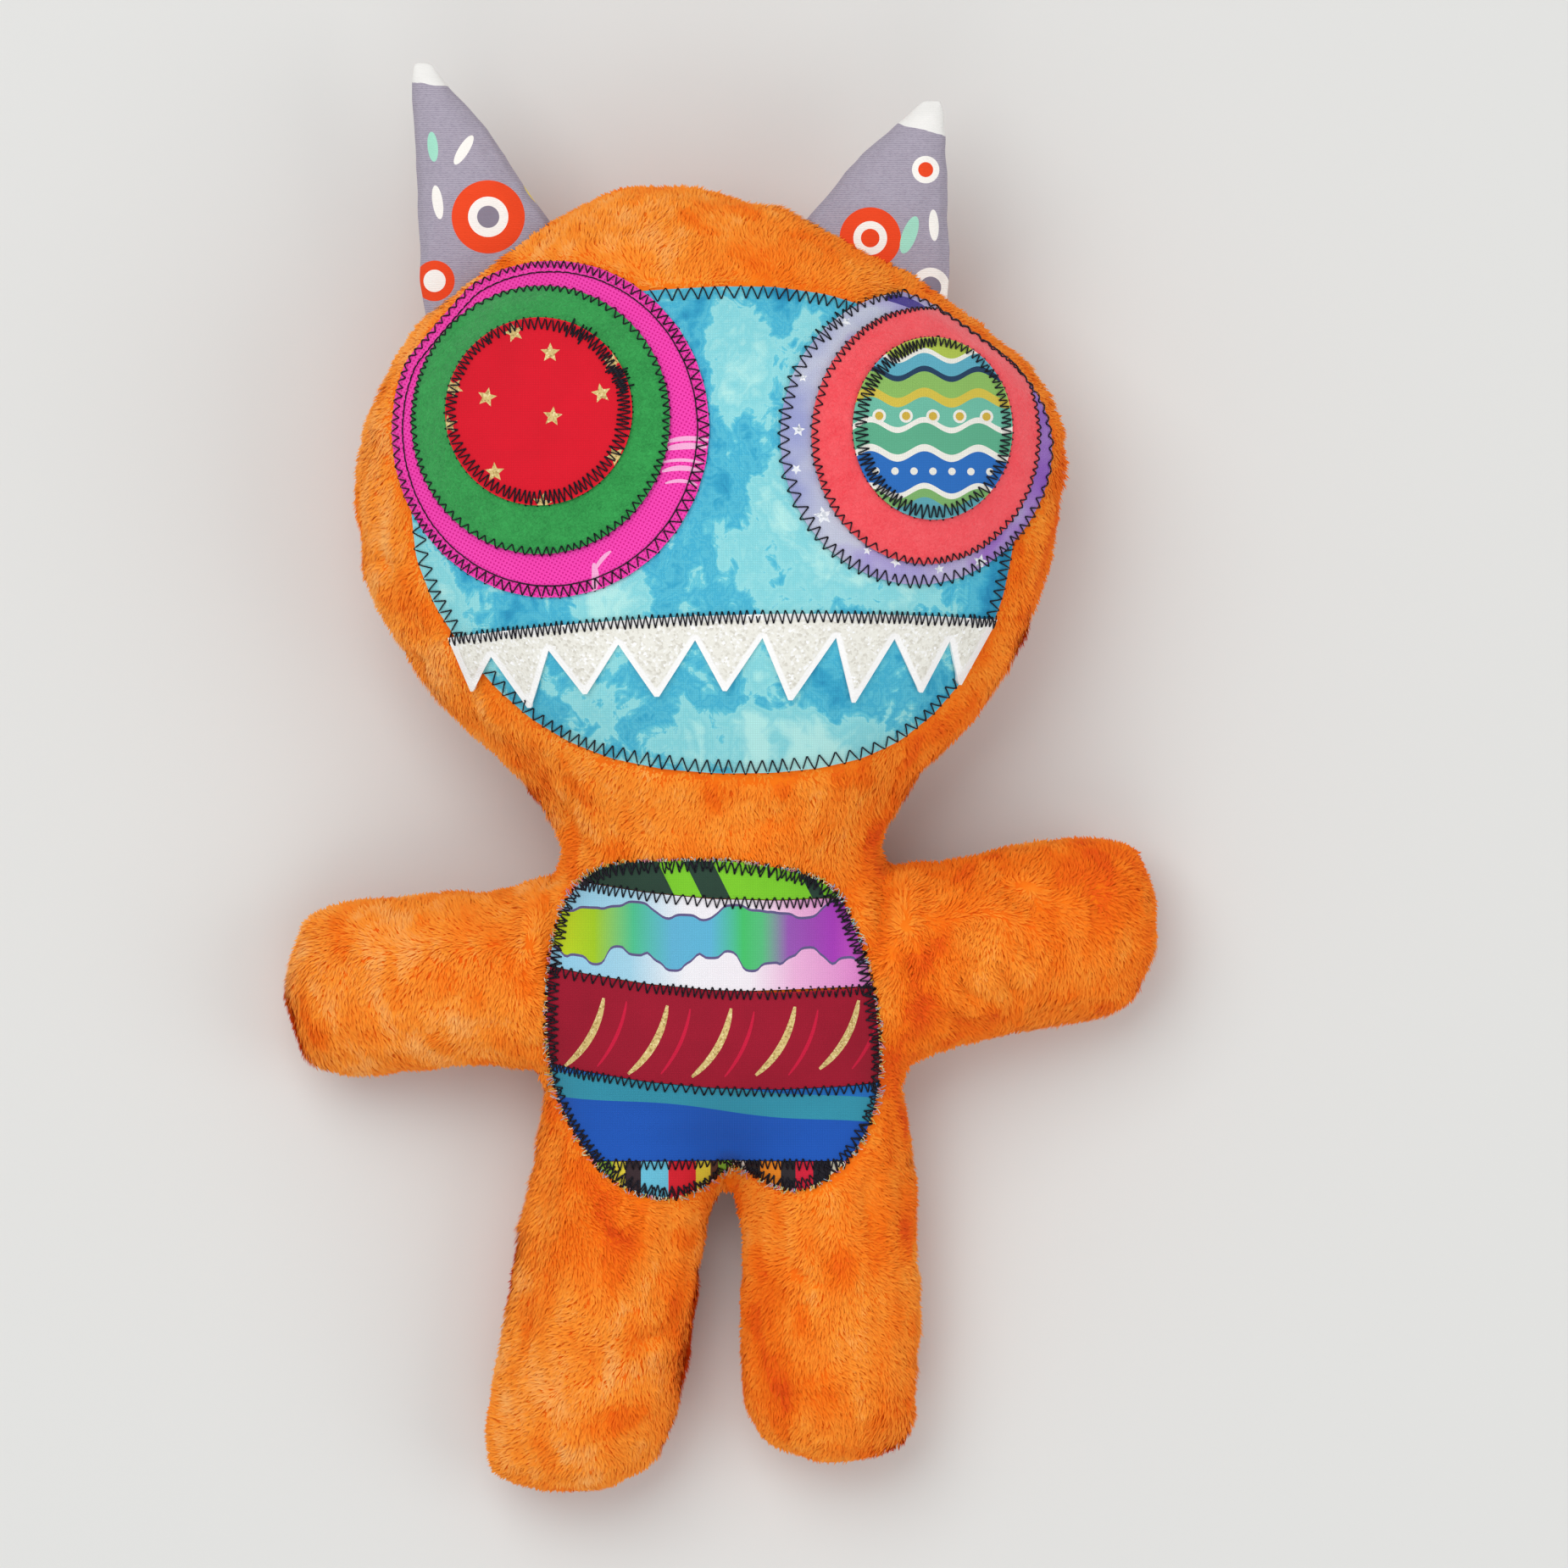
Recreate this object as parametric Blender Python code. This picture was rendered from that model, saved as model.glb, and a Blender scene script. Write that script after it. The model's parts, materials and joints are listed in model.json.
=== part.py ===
"""Monster plush doll, lying on its back as it is put down.

A front and a back panel of short-pile plush are sewn together round one filling, with two
stuffed cotton ears set into the seam of the head. On the front lie a cotton face patch, a strip
of teeth, three stacked discs for each eye, and a belly patch pieced from five strips.

Units are metres. The face looks along +Z and the ears point along +Y. Left and right are as seen
by someone who looks at the face.
"""

import math
from typing import NamedTuple

import bmesh
import bpy
import numpy as np
from mathutils import Vector
from mathutils.bvhtree import BVHTree
from mathutils.kdtree import KDTree

# Cloth and clearances
SEAM_GAP = 0.0003  # kept wherever two pieces touch
PLUSH_WALL = 0.002  # knitted back and flattened pile together
EAR_CLOTH = 0.0007
PATCH_CLOTH = 0.0007
EYE_FELT = 0.0012
TOOTH_SHEET = 0.001
REST_SINK = 0.003  # how much of the back's roundness is pressed flat by the floor

# Head
HEAD_LENGTH = 0.1985  # crown to neck
HEAD_WIDTH = 0.216
HEAD_FRONT = 0.055  # seam to the middle of the face
HEAD_BACK = 0.048  # seam to the back of the head
HEAD_SHIFT = -0.0045  # middle of the head from the middle of the neck

# Torso
NECK_WIDTH = 0.102
NECK_TO_ARM = 0.012
ARM_ROOT = 0.058  # from the top to the bottom of an arm where it leaves the torso
ARM_TO_CROTCH = 0.035
HIP_WIDTH = 0.119
HIP_LIFT = 0.0041  # how far the seam at the hips lies above that of the legs
CROTCH_SHIFT = 0.0024  # how far the crotch lies to the right of the middle of the hips
TORSO_FRONT = 0.036
TORSO_BACK = 0.034
SHOULDER_TILT = 0.0023  # the right shoulder lies higher by this and the left lower

# Limbs
ARM_LENGTH = 0.078
ARM_WIDTH = 0.052
ARM_THICKNESS = 0.047
ARM_ROOT_FLARE = 1.08  # thickness at the root as a share of the arm's own
LEFT_HAND_RISE = -0.006
RIGHT_HAND_RISE = 0.013
LEG_THICKNESS = 0.048
LEFT_LEG_LENGTH = 0.097
LEFT_LEG_WIDTH = 0.059
LEFT_LEG_LEAN = 0.019  # sideways travel of the foot, away from the middle
RIGHT_LEG_LENGTH = 0.088
RIGHT_LEG_WIDTH = 0.055
RIGHT_LEG_LEAN = 0.003
LIMB_STATION = 0.71  # where a limb is fullest, as a share of its length
LIMB_TIP_WIDTH = 0.80  # width of a limb's rounded end as a share of the limb's
TIP_ROUNDING = 0.0052  # how far the corners of the end lie back from its tip

# Ears
LEFT_EAR_LENGTH = 0.0815
LEFT_EAR_BASE = 0.057
RIGHT_EAR_LENGTH = 0.064
RIGHT_EAR_BASE = 0.065
EAR_THICKNESS = 0.019
EAR_TIP_WIDTH = 0.006
EAR_LEAN = 0.003  # how far both tips lie to the left of their outer corners

# Face: a place is a share of the head's half width across and of its length below the crown
FACE_PATCH_PLACE = (0.013, 0.533)
FACE_PATCH_WIDTH = 0.185
FACE_PATCH_HEIGHT = 0.1475
MOUTH_PLACE = (0.045, 0.683)  # middle of the strip's straight upper edge
MOUTH_WIDTH = 0.168
MOUTH_ARCH = 0.004  # how far the upper edge rises above a straight line
MOUTH_TILT = 0.0028  # how far its right end lies above its middle
TOOTH_ROOT = 0.0073  # depth of the strip where two teeth meet
TOOTH_BLUNTNESS = 0.06  # width of a tip as a share of the tooth's

# Belly patch
BELLY_TOP = 0.008  # from the neck down to its upper edge
BELLY_SHIFT = -0.0026  # its middle from the middle of the neck
BELLY_WIDTH = 0.102
BELLY_HEIGHT = 0.1035
BELLY_SAG = 0.0045  # how far the middle of a strip hangs below its ends
BELLY_TILT = 0.003  # how far a strip's right end lies below its middle
STRIP_HEIGHTS = (0.0115, 0.028, 0.030, 0.0225)  # the lowest strip takes the rest
PATCH_MARGIN = 0.004  # from the seam of the body to the nearest edge of any patch

# Cross-sections: the columns of points across the body, and how full it is between them
COLUMNS = (-1.0, -0.56, 0.0, 0.56, 1.0)
QUARTER_FULLNESS = 0.84
DISC_SIDES = 30
EAR_ACROSS = 6  # divisions across each side of an ear
MOUTH_STEPS = 10  # divisions along the upper edge of the teeth
STRIP_STEPS = 6  # divisions along the edge between two strips of the belly patch
STRIP_OVERRUN = 1.2  # reach of such an edge as a share of the patch's half width
CUTTER_MARGIN = 0.012  # how far a cutter reaches past what it cuts
HOLD_STEP = 0.01  # step by which an outline is drawn in to clear the seam
SUBDIVISION = 2
FILLING_SUBDIVISION = 1
FILLING_ROUNDS = 20
FILLING_INSET = 0.009  # the deepest that the filling is drawn in from the skin

# Drop of the head's five crown points, as shares of the head's length
CROWN_DROPS = (0.116, 0.022, 0.002, 0.046, 0.116)
CROWN_COLUMNS = (-0.66, -0.34, -0.03, 0.28, 0.545)

# One row for each rib of the head: share of the length below the crown, left and right edge as
# shares of the half width, fullness in front and behind, and how far the seam there has come down
# from the head's height to the torso's
HEAD_RIBS = (
    (0.262, -0.890, 0.905, 0.92, 0.94, 0.00),
    (0.495, -1.000, 1.005, 1.00, 1.00, 0.00),
    (0.735, -0.850, 0.872, 0.93, 0.98, 0.10),
    (0.912, -0.530, 0.600, 0.69, 0.88, 0.45),
)

# The torso's ribs at the top, middle and bottom of the arms and at the crotch: how far the width
# has grown from the neck's to the hips', how far the seam has come down from the head's height to
# the torso's, fullness in front, and share of the shoulders' tilt
TORSO_RIBS = (
    (0.00, 0.75, 0.92, 1.00),
    (0.50, 1.00, 1.00, 1.00),
    (0.84, 1.00, 0.98, 0.50),
    (1.00, 1.00, 0.80, 0.00),
)

# Outline of the face patch as shares of its half width and half height from its middle
FACE_OUTLINE = (
    (-0.14, 1.00), (0.38, 0.98), (0.84, 0.70), (1.00, 0.13), (0.91, -0.45), (0.62, -0.87),
    (0.20, -1.00), (-0.33, -0.94), (-0.71, -0.65), (-0.975, -0.11), (-0.92, 0.49), (-0.56, 0.90),
)

# Outline of the belly patch, likewise, with the notch above the crotch
BELLY_OUTLINE = (
    (-0.26, 1.00), (0.19, 0.99), (0.68, 0.865), (0.88, 0.52), (0.985, 0.08), (0.985, -0.38),
    (0.85, -0.72), (0.56, -0.945), (0.29, -0.89), (0.13, -0.80), (-0.03, -0.91), (-0.28, -1.00),
    (-0.64, -0.86), (-0.93, -0.41), (-1.00, 0.10), (-0.93, 0.65), (-0.70, 0.95),
)

# Each tooth of the strip from left to right: width, length and where its tip lies across it
TEETH = (
    (0.0133, 0.0172, 0.55),
    (0.0177, 0.0242, 0.66),
    (0.0213, 0.0216, 0.52),
    (0.0234, 0.0239, 0.50),
    (0.0205, 0.0231, 0.44),
    (0.0224, 0.0263, 0.38),
    (0.0179, 0.0270, 0.30),
    (0.0169, 0.0234, 0.48),
    (0.0146, 0.0205, 0.22),
)

FRONT = 0
BACK = 1


class Disc(NamedTuple):
    """One disc of an eye: its size and its middle, measured from the middle of the outer disc."""

    name: str
    width: float
    height: float
    right: float
    up: float
    finish: str


class Eye(NamedTuple):
    """An eye: its place on the head as shares, and its discs from the lowest to the top one."""

    across: float
    down: float
    discs: tuple


EYES = (
    Eye(-0.442, 0.376, (
        Disc("eye_left_outer_disc", 0.0975, 0.1035, 0.0, 0.0, "pink cotton"),
        Disc("eye_left_middle_disc", 0.0793, 0.0824, -0.0029, 0.0027, "green felt"),
        Disc("eye_left_pupil", 0.0575, 0.0578, -0.0034, 0.0052, "red cotton"),
    )),
    Eye(0.595, 0.389, (
        Disc("eye_right_outer_disc", 0.0838, 0.0902, 0.0, 0.0, "lavender satin"),
        Disc("eye_right_middle_disc", 0.0700, 0.0788, 0.0027, 0.0005, "coral felt"),
        Disc("eye_right_pupil", 0.0490, 0.0562, 0.0047, 0.0027, "teal cotton"),
    )),
)

class EarRow(NamedTuple):
    """A slice of an ear: shares of its length from the base, its base width and its thickness."""

    along: float
    width: float
    fullness: float


# Pinched at its base by the seam, fullest in the middle, and folded flat at the tip
EAR_ROWS = (
    EarRow(0.00, 1.00, 0.50),
    EarRow(0.27, 0.83, 0.80),
    EarRow(0.50, 0.61, 1.00),
    EarRow(0.74, 0.40, 0.85),
    EarRow(0.92, 0.18, 0.50),
    EarRow(1.00, 0.00, 0.00),
)


class Ear(NamedTuple):
    """An ear: its side of the head, its length and base width, and where its outer corner sits."""

    name: str
    side: int
    length: float
    base: float
    across: float
    down: float


EARS = (
    Ear("left", -1, LEFT_EAR_LENGTH, LEFT_EAR_BASE, -0.812, 0.214),
    Ear("right", 1, RIGHT_EAR_LENGTH, RIGHT_EAR_BASE, 0.700, 0.185),
)

# Colour as sRGB hex and roughness of every cloth
FINISHES = {
    "orange plush": ("#EE7A1E", 0.95),
    "white fibre": ("#EFEDE6", 1.0),
    "grey cotton": ("#7D7583", 0.9),
    "blue batik": ("#45B4CE", 0.88),
    "white sheet": ("#E6E4DC", 0.5),
    "pink cotton": ("#F5289C", 0.85),
    "green felt": ("#2C8A42", 0.97),
    "red cotton": ("#CC1226", 0.88),
    "lavender satin": ("#A99BD2", 0.5),
    "coral felt": ("#F9535C", 0.97),
    "teal cotton": ("#4FA99A", 0.88),
    "lime cotton": ("#4C7A3A", 0.88),
    "rainbow cotton": ("#8FC8D8", 0.88),
    "crimson cotton": ("#A2122E", 0.88),
    "blue cotton": ("#1D57B4", 0.88),
    "striped cotton": ("#D5A33A", 0.88),
}

BELLY_FINISHES = ("lime cotton", "rainbow cotton", "crimson cotton", "blue cotton", "striped cotton")


class Surface(NamedTuple):
    """A triangulated sheet of the doll's skin, with the side that each triangle belongs to."""

    points: list
    normals: list
    triangles: list
    sides: list


class SkinPoint(NamedTuple):
    """A point of the pattern: its place, the height of the seam there and its two depths."""

    x: float
    y: float
    seam: float
    front: float
    back: float


def blend(first, second, share):
    """Return the value that lies a share of the way from the first to the second."""
    return first + (second - first) * share


def srgb_to_linear(code):
    """Return a sRGB hex colour as linear red, green, blue and alpha."""
    channels = [int(code[start:start + 2], 16) / 255 for start in (1, 3, 5)]
    linear = [c / 12.92 if c <= 0.04045 else ((c + 0.055) / 1.055) ** 2.4 for c in channels]
    return (*linear, 1.0)


def finish_material(name):
    """Return the material of a cloth, made once."""
    material = bpy.data.materials.get(name)
    if material:
        return material
    code, roughness = FINISHES[name]
    material = bpy.data.materials.new(name)
    material.use_nodes = True
    shader = material.node_tree.nodes["Principled BSDF"]
    shader.inputs["Base Color"].default_value = srgb_to_linear(code)
    shader.inputs["Roughness"].default_value = roughness
    shader.inputs["Metallic"].default_value = 0.0
    material.diffuse_color = srgb_to_linear(code)
    return material


def add_object(name, points, faces, parent=None):
    """Add a mesh object under the doll's origin."""
    mesh = bpy.data.meshes.new(name)
    mesh.from_pydata([tuple(point) for point in points], [], faces)
    mesh.update()
    item = bpy.data.objects.new(name, mesh)
    item.parent = parent
    bpy.context.scene.collection.objects.link(item)
    return item


def add_piece(name, solid, finish, origin):
    """Add one piece of the doll with its material."""
    piece = add_object(name, *solid, origin)
    piece.data.materials.append(finish_material(finish))
    return piece


def add_cutter(name, solid, origin):
    """Add a solid that only cuts others."""
    cutter = add_object(name, *solid, origin)
    cutter.hide_render = True
    cutter.display_type = "WIRE"
    return cutter


def cut(piece, cutter, operation):
    """Cut a piece with another solid."""
    modifier = piece.modifiers.new(cutter.name, "BOOLEAN")
    modifier.operation = operation
    modifier.solver = "EXACT"
    modifier.object = cutter


def smooth_loop(corners, steps=3):
    """Return a closed smooth curve through the corners."""
    count = len(corners)
    loop = []
    for index in range(count):
        before, start, end, after = (Vector(corners[(index + k) % count]) for k in (-1, 0, 1, 2))
        for step in range(steps):
            t = step / steps
            bend = (2 * before - 5 * start + 4 * end - after) * t * t
            swing = (3 * start - before - 3 * end + after) * t ** 3
            loop.append((2 * start + (end - before) * t + bend + swing) / 2)
    return [(point.x, point.y) for point in loop]


def prism(loop, bottom, top):
    """Return the upright solid over a closed loop given anticlockwise from above."""
    count = len(loop)
    points = [(x, y, z) for z in (bottom, top) for x, y in loop]
    faces = [tuple(range(count, 2 * count)), tuple(reversed(range(count)))]
    for index in range(count):
        after = (index + 1) % count
        faces.append((index, after, after + count, index + count))
    return points, faces


def head_place(across, down):
    """Return a point of the head from its shares across and below the crown."""
    return HEAD_SHIFT + across * HEAD_WIDTH / 2, HEAD_LENGTH * (1 - down)


def body_ribs():
    """Return the pattern's points across the head and torso, one row for each rib."""
    crown = []
    for column, drop in zip(CROWN_COLUMNS, CROWN_DROPS):
        x = HEAD_SHIFT + column * HEAD_WIDTH / 2
        crown.append(SkinPoint(x, HEAD_LENGTH * (1 - drop), HEAD_BACK, 0, 0))
    ribs = [crown]

    for down, left, right, front, back, share in HEAD_RIBS:
        edges = [HEAD_SHIFT + side * HEAD_WIDTH / 2 for side in (left, right)]
        depths = (HEAD_FRONT * front, HEAD_BACK * back)
        seam = blend(HEAD_BACK, TORSO_BACK, share)
        ribs.append(rib(HEAD_LENGTH * (1 - down), *edges, seam, depths))

    arm_top = -NECK_TO_ARM
    arm_bottom = arm_top - ARM_ROOT
    levels = (arm_top, arm_top - ARM_ROOT / 2, arm_bottom, arm_bottom - ARM_TO_CROTCH)
    for y, (width_share, seam_share, fullness, tilt_share) in zip(levels, TORSO_RIBS):
        half = blend(NECK_WIDTH, HIP_WIDTH, width_share) / 2
        at_crotch = y == levels[-1]
        seam = hip_seam() if at_crotch else blend(HEAD_BACK, TORSO_BACK, seam_share)
        depths = (TORSO_FRONT * fullness, seam)
        ribs.append(rib(y, -half, half, seam, depths, SHOULDER_TILT * tilt_share))
    return ribs


def hip_seam():
    """Return the height of the seam where the legs leave the torso."""
    return LEG_THICKNESS / 2 + HIP_LIFT


def rib(y, left, right, seam, depths, tilt=0.0):
    """Return the five points of one rib from the left to the right seam."""
    front, back = depths
    middle = (left + right) / 2
    half = (right - left) / 2
    points = []
    for column in COLUMNS:
        fullness = {1.0: 0.0, 0.0: 1.0}.get(abs(column), QUARTER_FULLNESS)
        x = middle + column * half
        points.append(SkinPoint(x, y + column * tilt, seam, front * fullness, back * fullness))
    return points


class Limb(NamedTuple):
    """An arm or a leg: its three root points, its tip, and its sizes."""

    root: tuple
    tip: tuple
    across: tuple
    width: float
    thickness: float


def limb_rows(limb):
    """Return the points across a limb where it is fullest and at its tip."""
    start, _, end = (Vector((point.x, point.y)) for point in limb.root)
    centre = (start + end) / 2
    tip = Vector(limb.tip)
    across = Vector(limb.across)
    travel = tip - centre
    depth = limb.thickness / 2
    place = centre + travel * LIMB_STATION
    half = across * limb.width / 2
    fullest = [
        SkinPoint(*(place - half), depth, 0, 0),
        SkinPoint(*place, depth, depth, depth),
        SkinPoint(*(place + half), depth, 0, 0),
    ]
    back_off = travel.normalized() * TIP_ROUNDING
    half *= LIMB_TIP_WIDTH
    places = (tip - back_off - half, tip, tip - back_off + half)
    return [fullest, [SkinPoint(*place, depth, 0, 0) for place in places]]


def body_pattern():
    """Return the points of the whole body pattern and its four-sided cells."""
    ribs = body_ribs()
    points = {}
    for row, line in enumerate(ribs):
        for column, point in enumerate(line):
            points["body", row, column] = point
    last = len(ribs) - 1
    top, bottom = last - 3, last - 1

    for column in (0, 4):
        root = points["body", top + 1, column]
        depth = ARM_THICKNESS * ARM_ROOT_FLARE / 2
        points["body", top + 1, column] = root._replace(front=depth, back=depth)

    hip = points["body", last, 2]
    points["body", last, 2] = hip._replace(x=hip.x + CROTCH_SHIFT, front=0, back=0)
    for column in (1, 3):
        point = points["body", last, column]
        outer = points["body", last, 0 if column == 1 else 4]
        x = (outer.x + points["body", last, 2].x) / 2
        points["body", last, column] = point._replace(x=x)

    cells = [
        [("body", row, column), ("body", row, column + 1),
         ("body", row + 1, column + 1), ("body", row + 1, column)]
        for row in range(last) for column in range(4)
    ]
    arms = {
        "left arm": ((top, top + 1, bottom), 0, -1, LEFT_HAND_RISE),
        "right arm": ((bottom, top + 1, top), 4, 1, RIGHT_HAND_RISE),
    }
    for name, (rows, column, side, rise) in arms.items():
        root = [("body", row, column) for row in rows]
        ends = [points[key] for key in root]
        level = (ends[0].y + ends[2].y) / 2
        edge = (ends[0].x + ends[2].x) / 2
        tip = (edge + side * ARM_LENGTH, level + rise)
        limb = Limb(tuple(ends), tip, (0, side), ARM_WIDTH, ARM_THICKNESS)
        add_limb(name, root, limb, points, cells)

    legs = {
        "left leg": ((0, 1, 2), LEFT_LEG_LENGTH, LEFT_LEG_WIDTH, -LEFT_LEG_LEAN),
        "right leg": ((2, 3, 4), RIGHT_LEG_LENGTH, RIGHT_LEG_WIDTH, RIGHT_LEG_LEAN),
    }
    for name, (columns, length, width, lean) in legs.items():
        root = [("body", last, column) for column in columns]
        ends = [points[key] for key in root]
        tip = ((ends[0].x + ends[2].x) / 2 + lean, ends[1].y - length)
        limb = Limb(tuple(ends), tip, (1, 0), width, LEG_THICKNESS)
        add_limb(name, root, limb, points, cells)
    return points, cells


def add_limb(name, root, limb, points, cells):
    """Add a limb's points and cells to the body pattern."""
    before = root
    for row, line in enumerate(limb_rows(limb)):
        keys = [(name, row, column) for column in range(3)]
        points.update(zip(keys, line))
        for column in range(2):
            cells.append([before[column], before[column + 1], keys[column + 1], keys[column]])
        before = keys


def sewn_cage(points, cells):
    """Return a closed cage of the pattern: a front and a back that share their edge."""
    borders = {}
    for cell in cells:
        for number in range(4):
            pair = frozenset((cell[number], cell[(number + 1) % 4]))
            borders[pair] = borders.get(pair, 0) + 1
    edge_keys = {key for pair, uses in borders.items() if uses == 1 for key in pair}

    places = []
    index = {}
    for side, sign in ((FRONT, 1), (BACK, -1)):
        for key, point in points.items():
            if key in edge_keys:
                if side == FRONT:
                    index[key, FRONT] = index[key, BACK] = len(places)
                    places.append((point.x, point.y, point.seam))
                continue
            depth = point.front if side == FRONT else -(point.back + REST_SINK)
            index[key, side] = len(places)
            places.append((point.x, point.y, point.seam + depth))
    faces = [[index[key, FRONT] for key in reversed(cell)] for cell in cells]
    faces += [[index[key, BACK] for key in cell] for cell in cells]
    sides = [FRONT] * len(cells) + [BACK] * len(cells)
    return np.array(places), faces, sides


def seat_cage(targets, faces, rounds=60):
    """Move the cage outward until its smooth surface passes through the target points.

    A point of the smooth surface is the weighted mean of its cage point, the points along the
    edges from it and the points across the faces round it.
    """
    count = len(targets)
    weights = np.zeros((count, count))
    for face in faces:
        for number, vertex in enumerate(face):
            weights[vertex, face[(number + 1) % 4]] += 2
            weights[vertex, face[(number + 3) % 4]] += 2
            weights[vertex, face[(number + 2) % 4]] += 1
    for vertex in range(count):
        valence = sum(vertex in face for face in faces)
        weights[vertex, vertex] = valence ** 2
        weights[vertex] /= valence * (valence + 5)
    cage = targets.copy()
    for _ in range(rounds):
        cage += targets - weights @ cage
    return cage


def smooth_surface(name, cage, faces, sides, levels):
    """Return the smooth skin over a cage, pressed flat where it meets the floor."""
    item = add_object(name, cage, faces)
    for polygon, side in zip(item.data.polygons, sides):
        polygon.material_index = side
    for label in ("front side", "back side"):
        item.data.materials.append(bpy.data.materials.new(label))
    modifier = item.modifiers.new("smooth", "SUBSURF")
    modifier.levels = modifier.render_levels = levels
    modifier.use_limit_surface = True
    graph = bpy.context.evaluated_depsgraph_get()
    skin = bmesh.new()
    skin.from_mesh(item.evaluated_get(graph).to_mesh())
    leftover_materials = list(item.data.materials)
    bpy.data.objects.remove(item)
    for material in leftover_materials:
        bpy.data.materials.remove(material)

    for vertex in skin.verts:
        vertex.co.z = max(vertex.co.z, 0.0)
    bmesh.ops.triangulate(skin, faces=skin.faces, quad_method="SHORT_EDGE")
    return read_surface(skin)


def read_surface(skin):
    """Take the points, normals and triangles out of a bmesh and free it.

    Along the seam, where front and back meet, the normal is kept level.
    """
    skin.normal_update()
    skin.verts.index_update()
    points = [vertex.co.copy() for vertex in skin.verts]
    normals = [vertex.normal.copy() for vertex in skin.verts]
    triangles = [tuple(vertex.index for vertex in face.verts) for face in skin.faces]
    sides = [face.material_index for face in skin.faces]
    for vertex in skin.verts:
        if len({face.material_index for face in vertex.link_faces}) > 1:
            normals[vertex.index].z = 0.0
            normals[vertex.index].normalize()
    skin.free()
    return Surface(points, normals, triangles, sides)


def thick_sheet(surface, chosen, low, high, seam_lift=0.0):
    """Return the closed solid between two heights over the chosen triangles of a surface."""
    triangles = [surface.triangles[number] for number in chosen]
    used = sorted({vertex for triangle in triangles for vertex in triangle})
    index = {vertex: number for number, vertex in enumerate(used)}
    directed = {
        (triangle[k], triangle[(k + 1) % 3]) for triangle in triangles for k in range(3)
    }
    border = [(a, b) for a, b in sorted(directed) if (b, a) not in directed]
    border_points = {vertex for pair in border for vertex in pair}
    count = len(used)
    seam = KDTree(len(border_points))
    for number, vertex in enumerate(sorted(border_points)):
        seam.insert(surface.points[vertex], number)
    seam.balance()
    points = []
    for height in (high, low):
        for vertex in used:
            point = surface.points[vertex] + surface.normals[vertex] * height
            if vertex in border_points:
                point.z += seam_lift
            else:
                keep_side(point, seam.find(point)[0].z, seam_lift)
            points.append(point)
    faces = [tuple(index[v] for v in triangle) for triangle in triangles]
    faces += [tuple(index[v] + count for v in reversed(triangle)) for triangle in triangles]
    for a, b in border:
        outer_a, outer_b, inner_a, inner_b = index[a], index[b], index[a] + count, index[b] + count
        faces.append((outer_b, outer_a, inner_a))
        faces.append((outer_b, inner_a, inner_b))
    return points, faces


def keep_side(point, seam_height, seam_lift):
    """Hold a point of a sewn panel on its own side of the seam."""
    edge = seam_height + 2 * seam_lift
    if (point.z - edge) * seam_lift < 0:
        point.z = edge


def side_of(surface, side):
    """Return the numbers of the triangles that belong to one side."""
    return [number for number, owner in enumerate(surface.sides) if owner == side]


def region(surface, loop, margin):
    """Return the front triangles under a loop's box, with a margin round it."""
    low = [min(point[axis] for point in loop) - margin for axis in (0, 1)]
    high = [max(point[axis] for point in loop) + margin for axis in (0, 1)]
    chosen = []
    for number in side_of(surface, FRONT):
        corners = [surface.points[vertex] for vertex in surface.triangles[number]]
        middle = sum(corners, Vector()) / 3
        if all(low[axis] < middle[axis] < high[axis] for axis in (0, 1)):
            chosen.append(number)
    return chosen


def filling_solid(coarse, fine, depth):
    """Return the filling: a coarser skin drawn in until it clears the cloth's inner face."""
    tree = BVHTree.FromPolygons(fine.points, fine.triangles)
    insets = [depth] * len(coarse.points)
    for _ in range(FILLING_ROUNDS):
        points = inset_points(coarse, insets)
        short = [0.0] * len(points)
        for triangle in coarse.triangles:
            corners = [points[vertex] for vertex in triangle]
            samples = corners + [sum(corners, Vector()) / 3]
            samples += [(corners[k] + corners[k - 1]) / 2 for k in range(3)]
            lack = max(depth - depth_inside(tree, sample) for sample in samples)
            for vertex in triangle:
                short[vertex] = max(short[vertex], lack)
        insets = [
            min(inset + max(lack, 0.0) / 2, FILLING_INSET) for inset, lack in zip(insets, short)
        ]
    return inset_points(coarse, insets), coarse.triangles


def inset_points(surface, insets):
    """Return a skin's points, each moved inward by its own distance."""
    return [p - n * inset for p, n, inset in zip(surface.points, surface.normals, insets)]


def depth_inside(tree, sample):
    """Return how far a sample lies below the nearest point of a closed skin."""
    place, normal, _, distance = tree.find_nearest(sample)
    return distance if (place - sample).dot(normal) > 0 else -distance


def grown_skin(surface, distance):
    """Return the closed skin moved outward by a distance."""
    return inset_points(surface, [-distance] * len(surface.points)), surface.triangles


def ear_points(ear):
    """Return the points of an ear, row by row from its base, as (x, y, half thickness)."""
    corner_x, corner_y = head_place(ear.across, ear.down)
    rows = []
    for row in EAR_ROWS:
        half = max(ear.base * row.width, EAR_TIP_WIDTH) / 2
        middle = corner_x - EAR_LEAN * row.along - ear.side * half
        line = []
        for step in range(EAR_ACROSS + 1):
            angle = math.pi * step / EAR_ACROSS
            depth = EAR_THICKNESS / 2 * row.fullness * math.sin(angle)
            on_seam = step in (0, EAR_ACROSS)
            place = (middle - half * math.cos(angle), corner_y + row.along * ear.length)
            line.append((*place, 0.0 if on_seam else depth))
        rows.append(line)
    return rows


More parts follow.
